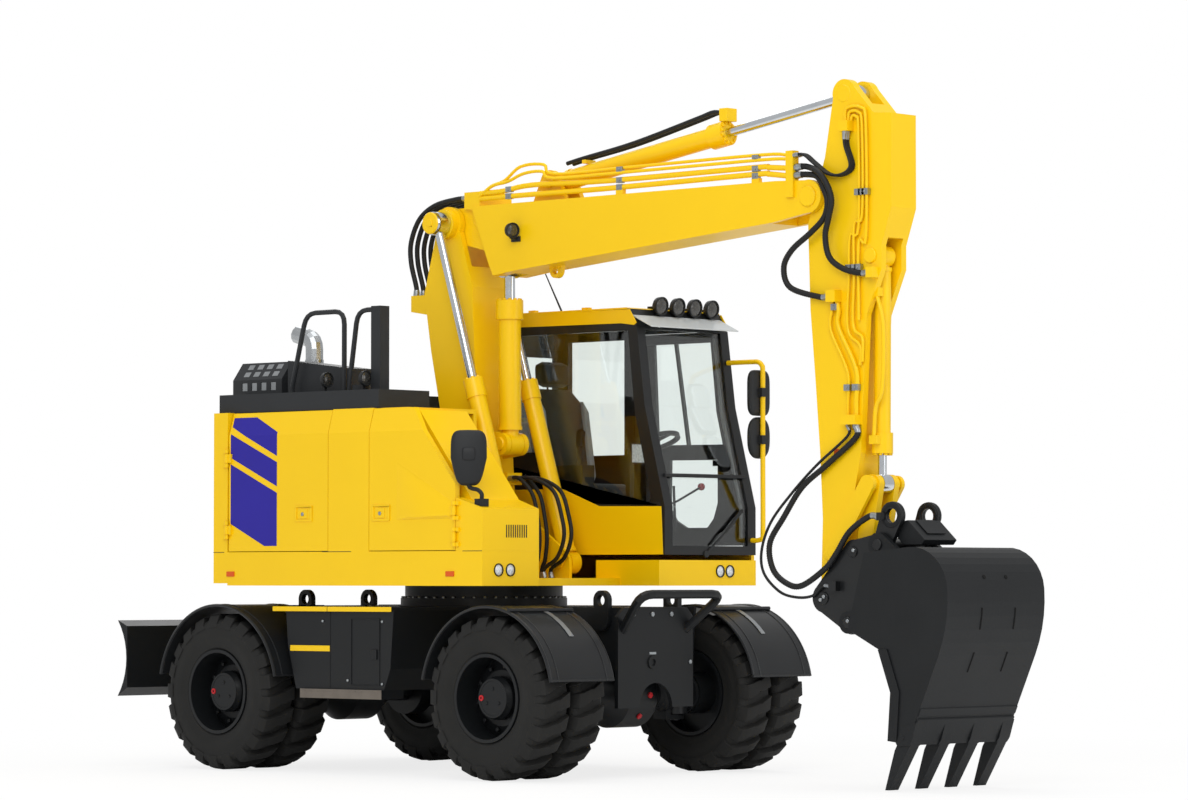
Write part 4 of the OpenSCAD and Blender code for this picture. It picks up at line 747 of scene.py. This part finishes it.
def clamp(x, y, z, size):
    """A small clamp block with its bolt, on a face that looks to the right."""
    box((x - size[0], y - 16, z - size[1]), (x + size[0], y + 14, z + size[1]))
    disc((x, y - 16, z), (0, -1, 0), 9, 7, 6, 1.5)


def pipes():
    for radius, y, route in BOOM_PIPES:
        run(level(route, y), radius, 12, 5)
    for x in (1490, 2666):
        box((x - 30, -262, 3800), (x + 30, -228, 3836))
    make("boom_pipes", YELLOW, "boom_upper_body")
    for x in (480, 1490, 2666):
        for z in (3851, 3897, 3966):
            if x > 500 or z < 3900:
                clamp(x, -248, z, (26, 19))
    make("boom_clamps", ZINC, "boom_upper_body", 2.0)
    for radius, route in ARM_PIPES:
        run(level(route, ARM_PIPE_Y), radius, 10, 5)
    make("arm_pipes", YELLOW, "arm_body")
    for x, z in ((3307, 2990), (3411, 2482), (3478, 2482), (3425, 3230), (3464, 3230), (3500, 3230),
                 (3500, 3700), (3532, 3700), (3560, 3700)):
        clamp(x, ARM_PIPE_Y, z, (24, 20))
    make("arm_clamps", ZINC, "arm_body", 2.0)
    route = [(3600, 3060), (3651, 2861), (3643, 2484), (3590, 2353), (3575, 2164)]
    run(level(route, -186), 13)
    for x, z in ((3590, 3075), (3575, 2155)):
        box((x - 32, -200, z - 28), (x + 32, -150, z + 28))
    make("bucket_cylinder_pipe", YELLOW, "bucket_cylinder_barrel_body", 3.0)


def caps(pin, faces, radius, depth=14.0):
    """A pin's round end caps, on faces that look to the right or to the left."""
    for face in faces:
        out = -1 if face < BOOM_Y else 1
        disc((pin[0], face - out, pin[1]), (0, out, 0), radius, depth, 36, 5)


def gland(foot, eye, y, length, radius, count):
    """A ring of bolts on a cylinder's gland, facing along its rod."""
    way = Vector((eye[0] - foot[0], 0, eye[1] - foot[1])).normalized()
    centre = (foot[0] + way.x * length, y, foot[1] + way.z * length)
    bolts(centre, way, radius * 0.8, count, 11, 12)


def boom_details():
    caps(ARM_PIN, BOOM_FACES, 66)
    caps(ARM_FOOT, LUG_FACES, 42)
    make("boom_pin_caps", YELLOW, "boom_upper_body")
    for face in ARM_FACES:
        caps(ARM_EYE, [face], 56, 5)
        caps(BUCKET_FOOT, [face], 48)
    make("arm_pin_caps", YELLOW, "arm_body")
    caps(ADJUST_FOOT, LUG_FACES, 45)
    caps(BOOM_PIN, [BOOM_FACE], 62)
    make("lower_boom_pin_caps", YELLOW, "boom_lower_body")
    for y in BOOM_CYLINDERS_Y:
        out = -1 if y < 0 else 1
        disc((BOOM_EYE[0], y + out * 68, BOOM_EYE[1]), (0, out, 0), 74, 10, 36, 6)
        disc((BOOM_EYE[0], y + out * 78, BOOM_EYE[1]), (0, out, 0), 26, 6, 24, 3)
    make("knuckle_caps", YELLOW, "boom_cylinder_rod_body")
    for name, foot, eye, length, radius, count in (
            ("arm", ARM_FOOT, ARM_EYE, 1517, 82, 12),
            ("bucket", BUCKET_FOOT, BUCKET_EYE, 1230, 67, 10),
            ("adjust", ADJUST_FOOT, ADJUST_EYE, 970, 92, 12)):
        gland(foot, eye, BOOM_Y, length, radius, count)
        make(f"{name}_gland_bolts", YELLOW, f"{name}_cylinder_barrel_body", 1.5)
    for y in BOOM_CYLINDERS_Y:
        gland(BOOM_FOOT, BOOM_EYE, y, 1285, 67, 8)
    make("boom_gland_bolts", YELLOW, "boom_cylinder_barrel_body", 1.5)
    # Feed lines of the arm cylinder, from its gland back to the boom
    route = [(2280, 4292), (2190, 4300), (2050, 4268), (1500, 4148), (1050, 4078), (900, 4052)]
    for y in (-130, -70):
        run(level(route, y), 14)
    make("arm_cylinder_lines", HOSE, "arm_cylinder_barrel_body")
    box((2262, -150, 4235), (2330, -50, 4320))
    box((1050, -150, 4040), (1085, -50, 4066))
    make("arm_cylinder_ports", YELLOW, "arm_cylinder_barrel_body", 4.0)
    # Work lamp, its bracket, and the orange marker on the arm
    box((520, BOOM_FACE - 12, 3540), (600, BOOM_FACE + 1, 3575))
    stem = [(8, 3560), (60, 3565), (70, 3590)]
    tube([at(561, BOOM_FACE - away, z) for away, z in stem], 8, 8)
    make("boom_lamp_bracket", PLASTIC, "boom_upper_body", 2.0)
    lamp("boom_lamp", (590, BOOM_FACE - 68, 3612), (1, -0.25, -0.1), 52, "boom_upper_body")
    disc((3308, ARM_FACE + 1, 2080), (0, -1, 0), 24, 7, 24, 2)
    make("arm_marker", ORANGE, "arm_body")


hoses()
pipes()
boom_details()


# Cab: yellow panels and roof, padded seat, lamps, visor, wiper and controls

CAB_Y = (280.0, 1200.0)
ROOF_Z = 3100.5
CAB_FRONT = 1400.0
CAB_REAR = -400.0
ROOF_FRONT = 1070.0
SEAT_X = 250.0
SEAT_Y = 740.0
MIRROR_Y = 1160.0
FLOOR_Z = 1500.5


def cushion(low, high, radius, lean=0.0, crown=0.0):
    """A stuffed block with round edges, swelling in the middle; lean shifts it back as it rises."""
    (x0, y0, z0), (x1, y1, z1) = low, high
    cx, cy = (x0 + x1) / 2, (y0 + y1) / 2
    rings = []
    for k in range(9):
        t = k / 8
        z = z0 + (z1 - z0) * t
        near = min(z - z0, z1 - z)
        inset = radius - math.sqrt(max(0.0, radius ** 2 - (radius - min(near, radius)) ** 2))
        swell = crown * math.sin(math.pi * t)
        hx, hy = (x1 - x0) / 2 - inset + swell, (y1 - y0) / 2 - inset + swell * 0.4
        ring = []
        for i in range(32):
            a = 2 * math.pi * (i + 0.5) / 32
            c, s = math.cos(a), math.sin(a)
            ring.append(at(cx + hx * math.copysign(abs(c) ** 0.35, c) - lean * t,
                           cy + hy * math.copysign(abs(s) ** 0.35, s), z))
        rings.append(ring)
    loop_faces(rings)


def seat():
    x, y, z = SEAT_X, SEAT_Y, FLOOR_Z
    cushion((x - 250, y - 245, z + 310), (x + 260, y + 245, z + 440), 45, crown=6)
    make("seat_cushion", CLOTH, stands_for=["seat"])
    cushion((x - 245, y - 200, z + 430), (x - 125, y + 200, z + 1100), 48, lean=105, crown=8)
    make("seat_back", CLOTH)
    for side in (-1, 1):
        low, high = sorted((y + side * 190, y + side * 245))
        cushion((x - 245, low, z + 430), (x - 105, high, z + 1020), 26, lean=92)
    make("seat_wings", GREY_CLOTH)
    cushion((x - 350, y - 135, z + 1115), (x - 262, y + 135, z + 1290), 38, lean=12, crown=5)
    make("head_rest", CLOTH)
    for side in (-1, 1):
        tube([at(x - 300, y + side * 55, z + 1060), at(x - 308, y + side * 55, z + 1150)], 7, 10)
    box((x - 190, y - 190, z + 1), (x + 200, y + 190, z + 60))
    box((x - 120, y - 150, z + 60), (x + 130, y + 150, z + 250))
    box((x - 230, y - 220, z + 250), (x + 230, y + 220, z + 312))
    make("seat_base", PLASTIC, edge_mm=8.0)


def yellow_skin():
    """Painted panels over the cab's frame: lower right side, and the roof with its rim."""
    y0, y1 = CAB_Y
    slab([(CAB_REAR, 1452), (1388, 1452), (1372, 1772), (811, 1778), (474, 1898), (CAB_REAR, 1898)],
         y0 - 4, y0 + 1)
    rim = [(CAB_REAR + 50, 3012), (1010, 3000), (1128, 2985), (1152, 3000), (1090, 3092),
           (CAB_REAR + 62, 3100)]
    for low, high in ((y0 - 6, y0 + 1), (y1 - 1, y1 + 6)):
        slab(rim, low, high)
    slab([(CAB_REAR + 55, 3094), (ROOF_FRONT - 10, 3094), (ROOF_FRONT + 6, 3098), (ROOF_FRONT - 14, 3106),
          (CAB_REAR + 75, 3106)], y0 - 6, y1 + 6)
    box((CAB_REAR - 5, y0 - 4, 1452), (CAB_REAR + 1, y1 + 4, 2130))
    for x in (60, 560):
        box((x, y0 + 90, 3104), (x + 60, y0 + 130, 3128))
    make("cab_panels", YELLOW, edge_mm=5.0)
    # Black window seal and strip below the side window
    slab([(CAB_REAR + 4, 1902), (474, 1902), (811, 1782), (1366, 1777), (1350, 1800), (560, 1800),
          (300, 2140), (CAB_REAR + 4, 2140)], y0 - 2, y0 + 1)
    make("side_strip", PLASTIC, edge_mm=1.5)


def roof_lamps():
    for i in range(4):
        y = 560 + 172 * i
        lamp(f"roof_lamp_{i}", (ROOF_FRONT + 52, y, ROOF_Z + 22), (1, 0, -0.12), 64)
        box((ROOF_FRONT - 60, y - 22, ROOF_Z - 4), (ROOF_FRONT + 6, y + 22, ROOF_Z + 24))
        stands_for = [] if i else ["lamps"]
        make(f"roof_lamp_foot_{i}", PLASTIC, edge_mm=2.0, stands_for=stands_for)
    for i, y in enumerate((834, 932)):
        lamp(f"cab_headlamp_{i}", (CAB_FRONT + 2, y, 1341.5), (1, 0, 0), 42, lens=LENS, shell=CHARCOAL)
    for i, x in enumerate((-476, -105)):
        lamp(f"deck_lamp_{i}", (x + 66, -1077, 2620), (1, 0, 0), 52)
        box((x + 18, -1090, 2540.5), (x + 48, -1064, 2580))
        make(f"deck_lamp_foot_{i}", PLASTIC, edge_mm=2.0)


def cab_fittings():
    # Sun visor over the windscreen, on two arms
    y0, y1 = CAB_Y
    slab([(1080, 3052), (1265, 2968), (1268, 2976), (1084, 3062)], y0 + 20, y1 - 20)
    for y in (y0 + 120, y1 - 120):
        tube([at(1060, y, 3060), at(1250, y, 2972)], 8, 8)
    make("sun_visor", VISOR, edge_mm=3.0)
    # Wiper, cross bar behind the windscreen, and antenna
    tube([at(1404, 690, 1456), at(1414, 850, 1590), at(1410, 1045, 1742)], 9, 8)
    tube([at(1407, 885, 1612), at(1407, 1052, 1752)], 12, 8)
    disc((1400, 690, 1456), (1, 0, 0), 24, 12, 20, 3)
    tube([at(1348, y0 + 52, 1980), at(1348, y1 - 52, 1980)], 13, 10)
    tube([at(330, 430, 3100), at(320, 430, 3112), at(60, 430, 3560)], [9, 7, 2], 8)
    make("wiper_and_antenna", PLASTIC)
    # Levers, screen and the red knob
    for side in (-1, 1):
        x, y, z = SEAT_X + 250, SEAT_Y + side * 320, FLOOR_Z + 735
        cushion((x - 26, y - 22, z - 60), (x + 26, y + 22, z + 70), 18, lean=-14)
    box((1010, 352, FLOOR_Z + 560), (1035, 560, FLOOR_Z + 700))
    box((960, 380, FLOOR_Z + 300), (1000, 420, FLOOR_Z + 580))
    tube([at(880, 960, FLOOR_Z + 120), at(920, 900, FLOOR_Z + 420)], 9, 8)
    make("cab_levers", PLASTIC, edge_mm=3.0)
    tube([at(958, 748, 1775), at(1000, 850, 1817), at(1000, 1080, 1912)], 8, 8)
    make("travel_lever", PLASTIC)
    knob = [(-26, 0.01), (-21, 17), (-7, 25), (7, 25), (21, 17), (26, 0.01)]
    turned(knob, (1000, 1092, 1917), (0, 0, 1), 20)
    make("red_knob", RED)
    box((1036, 362, FLOOR_Z + 570), (1037.5, 550, FLOOR_Z + 690))
    make("screen", LENS)
    # Grey trim inside the pillars
    for y in (y0 + 55, y1 - 55):
        route = [(1322, 1560), (1322, 1790), (1150, 2420), (1085, 2930)]
        for a, b in zip(route, route[1:]):
            tube([at(a[0], y, a[1]), at(b[0], y, b[1])], 22, 10)
    make("pillar_trim", GREY_PLASTIC)


def rounded_plate(centre, across, out, half_w, half_h, depth, taper=0.0, power=0.5):
    """A flat head with round corners and edges, facing out; taper draws its lower end in."""
    x, y, z = centre
    rings = []
    for lift, grow in ((-1.0, 0.84), (-0.75, 0.94), (-0.3, 1.0), (0.3, 1.0), (0.75, 0.95), (1.0, 0.86)):
        ring = []
        for i in range(40):
            a = 2 * math.pi * i / 40
            u = math.copysign(abs(math.cos(a)) ** power, math.cos(a)) * half_w * grow
            v = math.copysign(abs(math.sin(a)) ** power, math.sin(a)) * half_h * grow
            u *= 1 - taper * max(0.0, -v / half_h)
            ring.append(at(x + across[0] * u + out[0] * depth * lift,
                           y + across[1] * u + out[1] * depth * lift, z + v))
        rings.append(ring)
    loop_faces(rings)


def left_mirrors(x, panes, half_w, depth):
    """The two left mirrors' heads or glasses, which face back."""
    for low, high, power in panes:
        middle = (x, MIRROR_Y, (low + high) / 2)
        rounded_plate(middle, (0, 1), (-1, 0), half_w, (high - low) / 2, depth, 0.0, power)


def mirror_heads():
    x, y, z = 1018.0, -1180.0, 2070.0
    half = math.sqrt(0.5)
    across, out = (half, half), (half, -half)
    rounded_plate((x, y, z), across, out, 117, 180, 28, 0.34, 0.42)
    rounded_plate((x + 26 * half, y - 26 * half, z + 25), across, out, 42, 42, 10, 0.0, 0.35)
    slab([(1105, 1766), (1165, 1756), (1165, 1805), (1105, 1805)], y - 35, y + 35)
    path = [(1135, 1795), (1135, 1835), (1100, 1862), (1040, 1875), (1018, 1900), (1018, 2010)]
    run(level(path, y), 14)
    left_mirrors(1462, [(2392, 2702, 0.42), (2102, 2384, 0.75)], 104, 22)
    for low in (2200, 2520):
        box((1484, 1130, low), (1520, 1190, low + 60))
    make("mirror_shells", PLASTIC, stands_for=["mirrors"])
    path = [(1401, 1550), (1450, 1550), (1490, 1562), (1500, 1600), (1500, 2000), (1500, 2400), (1500, 2690),
            (1492, 2732), (1462, 2756), (1400, 2760), (1186, 2760)]
    run(level(path, MIRROR_Y), 17)
    make("mirror_rail", YELLOW)
    left_mirrors(1440, [(2412, 2682, 0.42), (2122, 2364, 0.75)], 90, 3)
    make("mirror_glass", CHROME)


def door_frame():
    """Dark bands that part the door's glass into an upper pane, a slim front pane and a lower one."""
    low, high = CAB_Y[1] - 36, CAB_Y[1] - 6
    for outline in (
            [(402, 2106), (1192, 2100), (1164, 2205), (402, 2212)],
            [(402, 1584), (640, 1584), (650, 2110), (402, 2110)],
            [(1083, 2104), (1083, 1806), (1045, 1700), (989, 1640), (800, 1640), (700, 1690), (640, 1780),
             (640, 1580), (1262, 1580), (1262, 1782), (1186, 2104)],
            [(402, 2908), (500, 2908), (535, 2210), (402, 2210)],
            [(684, 2908), (706, 2908), (822, 2206), (800, 2206)]):
        slab(outline, low, high)
    make("door_bands_inner", BLACK, "cab_door_body", 3.0)


seat()
yellow_skin()
mirror_heads()
door_frame()
roof_lamps()
cab_fittings()


# Undercarriage: fender rims and straps, side boxes, slewing ring and front plate

FRAME_Z = 1105.5
ARCH_R = 577.5
FENDER_Y = (679.0, 1267.0)
FENDER_LOW = 11.0
BOX_OUT = 1200.0
SLEW_R = 535.0
PLATE_X = 1575.0
AXLE_R = 215.0


def fender_trim(name, x, side, body):
    """Rolled rims at both edges of a fender, two pressed ribs, and a rim at each end."""
    low, high = FENDER_Y
    angles = [math.radians(FENDER_LOW + (180 - 2 * FENDER_LOW) * i / 40) for i in range(41)]
    for y, radius, size in ((low + 6, ARCH_R + 6, 9), (high - 6, ARCH_R + 6, 11), (low + 70, ARCH_R + 11, 6),
                            (high - 70, ARCH_R + 11, 6)):
        path = [at(x + radius * math.cos(a), side * y, AXLE_Z + radius * math.sin(a)) for a in angles]
        tube(path, size, 8)
    for a in (FENDER_LOW + 1, 180 - FENDER_LOW - 1):
        along, up = polar(ARCH_R + 6, a)
        tube([at(x + along, side * y, AXLE_Z + up) for y in FENDER_Y], 10, 8)
    make(f"fender_trim_{name}", FENDER, body)


def fender_strap(name, x, side, body):
    """A bright strap over the fender's front, on a cross tube."""
    y = side * (sum(FENDER_Y) / 2 - 40)
    path = []
    for a in (72, 66, 60, 54, 48, 42):
        along, up = polar(ARCH_R + 15, a)
        path.append((x + along, AXLE_Z + up))
    for (x0, z0), (x1, z1) in zip(path, path[1:]):
        slab([(x0, z0), (x1, z1), (x1 + 2, z1 + 4), (x0 + 2, z0 + 4)], y - 20, y + 20)
    make(f"fender_strap_{name}", ALUMINIUM, body, 1.0)
    along, up = polar(ARCH_R + 22, 70)
    tube([at(x + along, side * y, AXLE_Z + up) for y in FENDER_Y], 14, 12)
    make(f"fender_tube_{name}", FENDER, body)


def side_box_details(name, side):
    face = side * (BOX_OUT - 20)
    edge = side * BOX_OUT

    def plate(low, high, y, depth):
        y0, y1 = sorted((y - side, y + side * depth))
        box((low[0], y0, low[1]), (high[0], y1, high[1]))

    plate((-808, FRAME_Z - 31), (-282, FRAME_Z + 1), edge, 3)
    plate((-276, FRAME_Z - 31), (328, FRAME_Z + 1), edge, 3)
    plate((-655, 810), (-272, 848), face, 4)
    make(f"yellow_strips_{name}", YELLOW, "undercarriage", 1.5)
    plate((-275, 566), (-269, FRAME_Z - 22), face, 3)
    for low, high in (((-70, 590), (200, 596)), ((-70, 1024), (200, 1030)), ((-70, 590), (-64, 1030)),
                      ((194, 590), (200, 1030))):
        plate(low, high, face, 5)
    plate((120, 760), (176, 826), face, 9)
    make(f"side_box_panel_{name}", CHARCOAL, "undercarriage", 2.0)
    for x, z in ((-340, 1010), (225, 1010), (-100, 620), (150, 790), (225, 600)):
        disc((x, face, z), (0, side, 0), 9, 8, 12, 2)
    make(f"side_box_locks_{name}", ZINC, "undercarriage")
    plate((-538, 500), (238, 561), edge, 3)
    for i in range(13):
        x = -520 + i * 60
        plate((x, 544), (x + 36, 552), edge, 5)
    make(f"step_grip_{name}", TREAD_PLATE, "undercarriage", 1.0)


def ring_details():
    bolts((0, 0, FRAME_Z + 56), (0, 0, 1), SLEW_R + 16, 48, 10, 12)
    make("slew_bolts_low", ZINC, "undercarriage", 1.0)
    for y in (-218, -36, 149):
        disc((PLATE_X, y, 1060), (1, 0, 0), 17, 10, 6, 2)
    disc((PLATE_X, 335, 745), (1, 0, 0), 15, 8, 6, 2)
    box((PLATE_X - 1, -64, 797), (PLATE_X + 3, 0, 813))
    make("front_plate_bolts", ZINC, "undercarriage", 1.0)
    turned([(0, 44), (10, 42), (10, 24), (0, 22)], (PLATE_X, -36, 745), (1, 0, 0), 32)
    make("front_plate_ring", CHARCOAL, "undercarriage")
    for turn, y in ((0, 56), (-39, 2)):
        way = Vector((math.cos(math.radians(turn)), 0, math.sin(math.radians(turn))))
        disc((AXLES["front"] + AXLE_R * way.x, y, AXLE_Z + AXLE_R * way.z), way, 20, 12, 20, 3)
    make("axle_plugs", RED, "undercarriage")


for axle_name, axle_x in AXLES.items():
    for side_name, side_sign in SIDES.items():
        carrier = f"knuckle_{side_name}_body" if axle_name == "front" else "undercarriage"
        fender_trim(f"{axle_name}_{side_name}", axle_x, side_sign, carrier)
        if axle_name == "front":
            fender_strap(side_name, axle_x, side_sign, carrier)
for side_name, side_sign in SIDES.items():
    side_box_details(side_name, side_sign)
ring_details()


# Bucket and coupler: wear plates, tooth adapters, side edges, painted shade in the drain holes and the slots
# on the back, and pins

BUCKET_Y = (-580.0, 380.0)
HOOK = (3800, 1680.5)
HOOK_R = 66
LIP = Vector((4154.4, 291.1))
FLOOR_WAY = Vector((-0.4067, -0.9135))
FLOOR_OUT = Vector((0.9135, -0.4067))
HEEL = Vector((4190.0, 1210.5))
HEEL_R = 274.0
DRAIN_TURN = math.radians(19.6)
BACK = (3615.4, 1170.3)
BACK_R = 848
BACK_END = -24
TEETH_Y = [-530.0, -243.3, 43.3, 330.0]


def on_floor(up, out):
    """A point on the bucket's floor plate: millimetres up from its lip, and out from its face."""
    spot = LIP - FLOOR_WAY * up + FLOOR_OUT * out
    return spot.x, spot.y


def bucket_details():
    low, high = BUCKET_Y
    slab([on_floor(-4, -2), on_floor(-4, 10), on_floor(165, 12), on_floor(175, -2)], low + 4, high - 4)
    slab([on_floor(184, -2), on_floor(186, 7), on_floor(236, 7), on_floor(242, -2)], low + 2, high - 2)
    for y0, y1 in ((low - 11, low + 1), (high - 1, high + 11)):
        edge = [(LIP.x - 150, LIP.y + 15), (LIP.x - 128, LIP.y + 310), (LIP.x - 225, LIP.y + 570)]
        inner = [(x + 70, z + 4) for x, z in reversed(edge)]
        slab(edge + inner, y0, y1)
    make("wear_plates", DIGGING, "bucket_body", 3.0)
    for y in TEETH_Y:
        slab([(LIP.x + 70, LIP.y + 132), (LIP.x - 40, LIP.y + 104), (LIP.x - 92, LIP.y + 8),
              (LIP.x - 78, LIP.y - 14), (LIP.x + 12, LIP.y - 10), (LIP.x + 34, LIP.y + 20)],
             y - 54, y + 54)
        disc((LIP.x - 38, y - 54, LIP.y + 40), (0, -1, 0), 15, 4, 16, 2)
    make("tooth_adapters", DIGGING, "bucket_body", 6.0)
    # Drain holes drawn as flat near-black discs: painted shade in place of real holes
    for y in (-202, 13):
        way = Vector((math.cos(DRAIN_TURN), 0, math.sin(DRAIN_TURN)))
        spot = (HEEL.x + HEEL_R * way.x, y, HEEL.y + HEEL_R * way.z)
        disc(spot, way, 14, 2, 20, 0.5)
    make("drain_hole_shade", PAINTED_SHADE, "bucket_body")
    # Slots on the back drawn as near-black tubes: painted shade in place of real slots
    for y in (-241, 88):
        for first, last in ((-3.7, -12.7), (-22.6, -34.9)):
            spots = [back_point(first + (last - first) * i / 6) for i in range(7)]
            tube([at(x, y, z) for x, z in spots], 7, 8)
    make("back_slot_shade", PAINTED_SHADE, "bucket_body")


def coupler_details():
    """Round rims on the two lifting hooks, a cover between them, and pin caps."""
    for y in (-277.5, 77.5):
        turns = [2 * math.pi * i / 32 for i in range(33)]
        ring = [at(HOOK[0] + HOOK_R * math.cos(a), y, HOOK[1] + HOOK_R * math.sin(a)) for a in turns]
        tube(ring, 22, 12)
    slab([(3790, 1575), (3822, 1640), (3900, 1652), (4035, 1530), (4010, 1500), (3860, 1500)], -258, 58)
    slab([(3905, 1650), (4000, 1566), (4004, 1571), (3909, 1656)], -190, -10)
    make("coupler_cover", DIGGING, "bucket_body", 5.0)
    for (x, z), y, radius in (((3255, 1170.5), -295, 40), ((3495, 1458.5), -295, 34),
                              ((3480, 1020.5), -332, 34), ((3720, 1500.5), -332, 34)):
        disc((x, y, z), (0, -1, 0), radius, 10, 28, 3)
    make("coupler_pins", BLACK, "bucket_body")
    for x, y, z in ((3267, -305, 1180), (3240, -305, 1160), (3507, -305, 1468), (3490, -342, 1030)):
        disc((x, y, z), (0, -1, 0), 12, 9, 16, 2)
    make("coupler_pin_bolts", ZINC, "bucket_body")


def back_point(turn):
    """A point on the bucket's back: a wide arc, which runs out straight along the floor plate."""
    past = max(0.0, BACK_END - turn) * 10
    along, up = polar(BACK_R, max(turn, BACK_END))
    return BACK[0] + along + FLOOR_WAY.x * past, BACK[1] + up + FLOOR_WAY.y * past


bucket_details()
coupler_details()


# Rear and left side: tail lamps, camera, painted shade of the grille's slots, roof hatch and door handles

TAIL_R = 1840.0


def tail_details():
    for turn in (-31, -27, 27, 31):
        a = math.radians(180 + turn)
        way = (math.cos(a), math.sin(a), 0)
        disc((TAIL_R * way[0], TAIL_R * way[1], 1420), way, 48, 12, 28, 5)
    make("tail_lamps", RED)
    box((-TAIL_R - 14, -60, 2290), (-TAIL_R + 20, 60, 2360))
    disc((-TAIL_R - 14, 0, 2325), (-1, 0, 0), 22, 8, 20, 3)
    make("rear_camera", PLASTIC, edge_mm=4.0)
    for i in range(48):
        a, b = [math.radians(180 - 40 + 80 * t / 48) for t in (i, i + 1)]
        ring = [(a, 1466), (b, 1466), (b, 1471), (a, 1471)]
        loop_faces([[at(r * math.cos(t), r * math.sin(t), z) for t, z in ring]
                    for r in (TAIL_R - 8, TAIL_R + 1)])
    make("tail_seam", PLASTIC)


def left_details():
    latch("left", -560, 1725, "left_service_door_body", 1)
    # Grille slots drawn as near-black strips: painted shade in place of real openings
    for i in range(9):
        z = 1900 + 36 * i
        box((-1120, HALF_W - 2, z), (-760, HALF_W + 3, z + 14))
    make("left_grille_shade", PAINTED_SHADE, "left_service_door_body")
    box((1010, CAB_Y[1] - 1, 2060), (1150, CAB_Y[1] + 14, 2100))
    tube([at(440, CAB_Y[1] - 2, 2300), at(440, CAB_Y[1] + 26, 2320), at(440, CAB_Y[1] + 26, 2680),
          at(440, CAB_Y[1] - 2, 2700)], 11, 10)
    make("cab_door_handles", PLASTIC, "cab_door_body", 3.0)
    box((-60, 480, 3104), (520, 1000, 3118))
    box((500, 700, 3118), (516, 780, 3130))
    make("roof_hatch", PLASTIC, edge_mm=6.0)


tail_details()
left_details()


# Studio: a white surround, a wide pale floor and large soft lamps

WHITE = (1, 1, 1, 1)
SURROUND_STRENGTH = 0.62
FLOOR_HALF = 60
FLOOR_DROP = -0.002
LAMPS_AIM = Vector((0, 0, 1.5))
LAMPS = [("key", (9, -13, 11), 9.0, 1080), ("front", (15, 3, 6), 8.0, 340), ("top", (0, 0, 14), 10.0, 540),
         ("rear", (-12, 8, 9), 8.0, 390)]


def surround():
    """A background that looks white, and sheds a little less light than that."""
    world = bpy.data.worlds.new("studio")
    bpy.context.scene.world = world
    world.use_nodes = True
    tree = world.node_tree
    rays = add(tree, "ShaderNodeLightPath").outputs
    seen = add(tree, "ShaderNodeMath", {0: rays["Is Camera Ray"], 1: rays["Is Transmission Ray"]},
               operation="MAXIMUM").outputs["Value"]
    plug(tree, tree.nodes["Background"], {
        "Color": WHITE,
        "Strength": ranged(tree, seen, SURROUND_STRENGTH, 1.0)})


def paper_floor():
    """A pale floor which, seen directly, glows a little near the machine and fades to white further off."""
    made, tree, shader, place = blank("floor_paper")
    fibre = noise(tree, place, 40.0, 4.0)
    plug(tree, shader, {
        "Base Color": tinted(tree, fibre, "#f6f6f5", "#fbfbfb"),
        "Roughness": 0.95,
        "Specular IOR Level": 0.05})
    away = add(tree, "ShaderNodeVectorMath", {0: place}, operation="LENGTH").outputs["Value"]
    limits = {"Value": away, "From Min": 3.5, "From Max": 9.0, "To Min": 0.8, "To Max": 1.0}
    fade = add(tree, "ShaderNodeMapRange", limits, interpolation_type="SMOOTHSTEP").outputs["Result"]
    seen = add(tree, "ShaderNodeLightPath").outputs["Is Camera Ray"]
    share = add(tree, "ShaderNodeMath", {0: fade, 1: seen}, operation="MULTIPLY").outputs["Value"]
    glow = add(tree, "ShaderNodeEmission", {"Color": WHITE, "Strength": 1.0}).outputs["Emission"]
    both = add(tree, "ShaderNodeMixShader", {0: share, 1: shader.outputs["BSDF"], 2: glow}).outputs["Shader"]
    tree.links.new(both, tree.nodes["Material Output"].inputs["Surface"])
    mesh = bpy.data.meshes.new("floor")
    corners = [(x * FLOOR_HALF, y * FLOOR_HALF, FLOOR_DROP) for x, y in ((-1, -1), (1, -1), (1, 1), (-1, 1))]
    mesh.from_pydata(corners, [], [(0, 1, 2, 3)])
    floor = bpy.data.objects.new("floor", mesh)
    bpy.context.collection.objects.link(floor)
    mesh.materials.append(made)


def studio_lamps():
    for name, place, size, power in LAMPS:
        data = bpy.data.lights.new(name, "AREA")
        data.size = size
        data.energy = power
        source = bpy.data.objects.new(name, data)
        bpy.context.collection.objects.link(source)
        source.location = place
        source.rotation_euler = (LAMPS_AIM - Vector(place)).to_track_quat("-Z", "Y").to_euler()


surround()
paper_floor()
studio_lamps()
bpy.context.scene.view_settings.view_transform = "Standard"
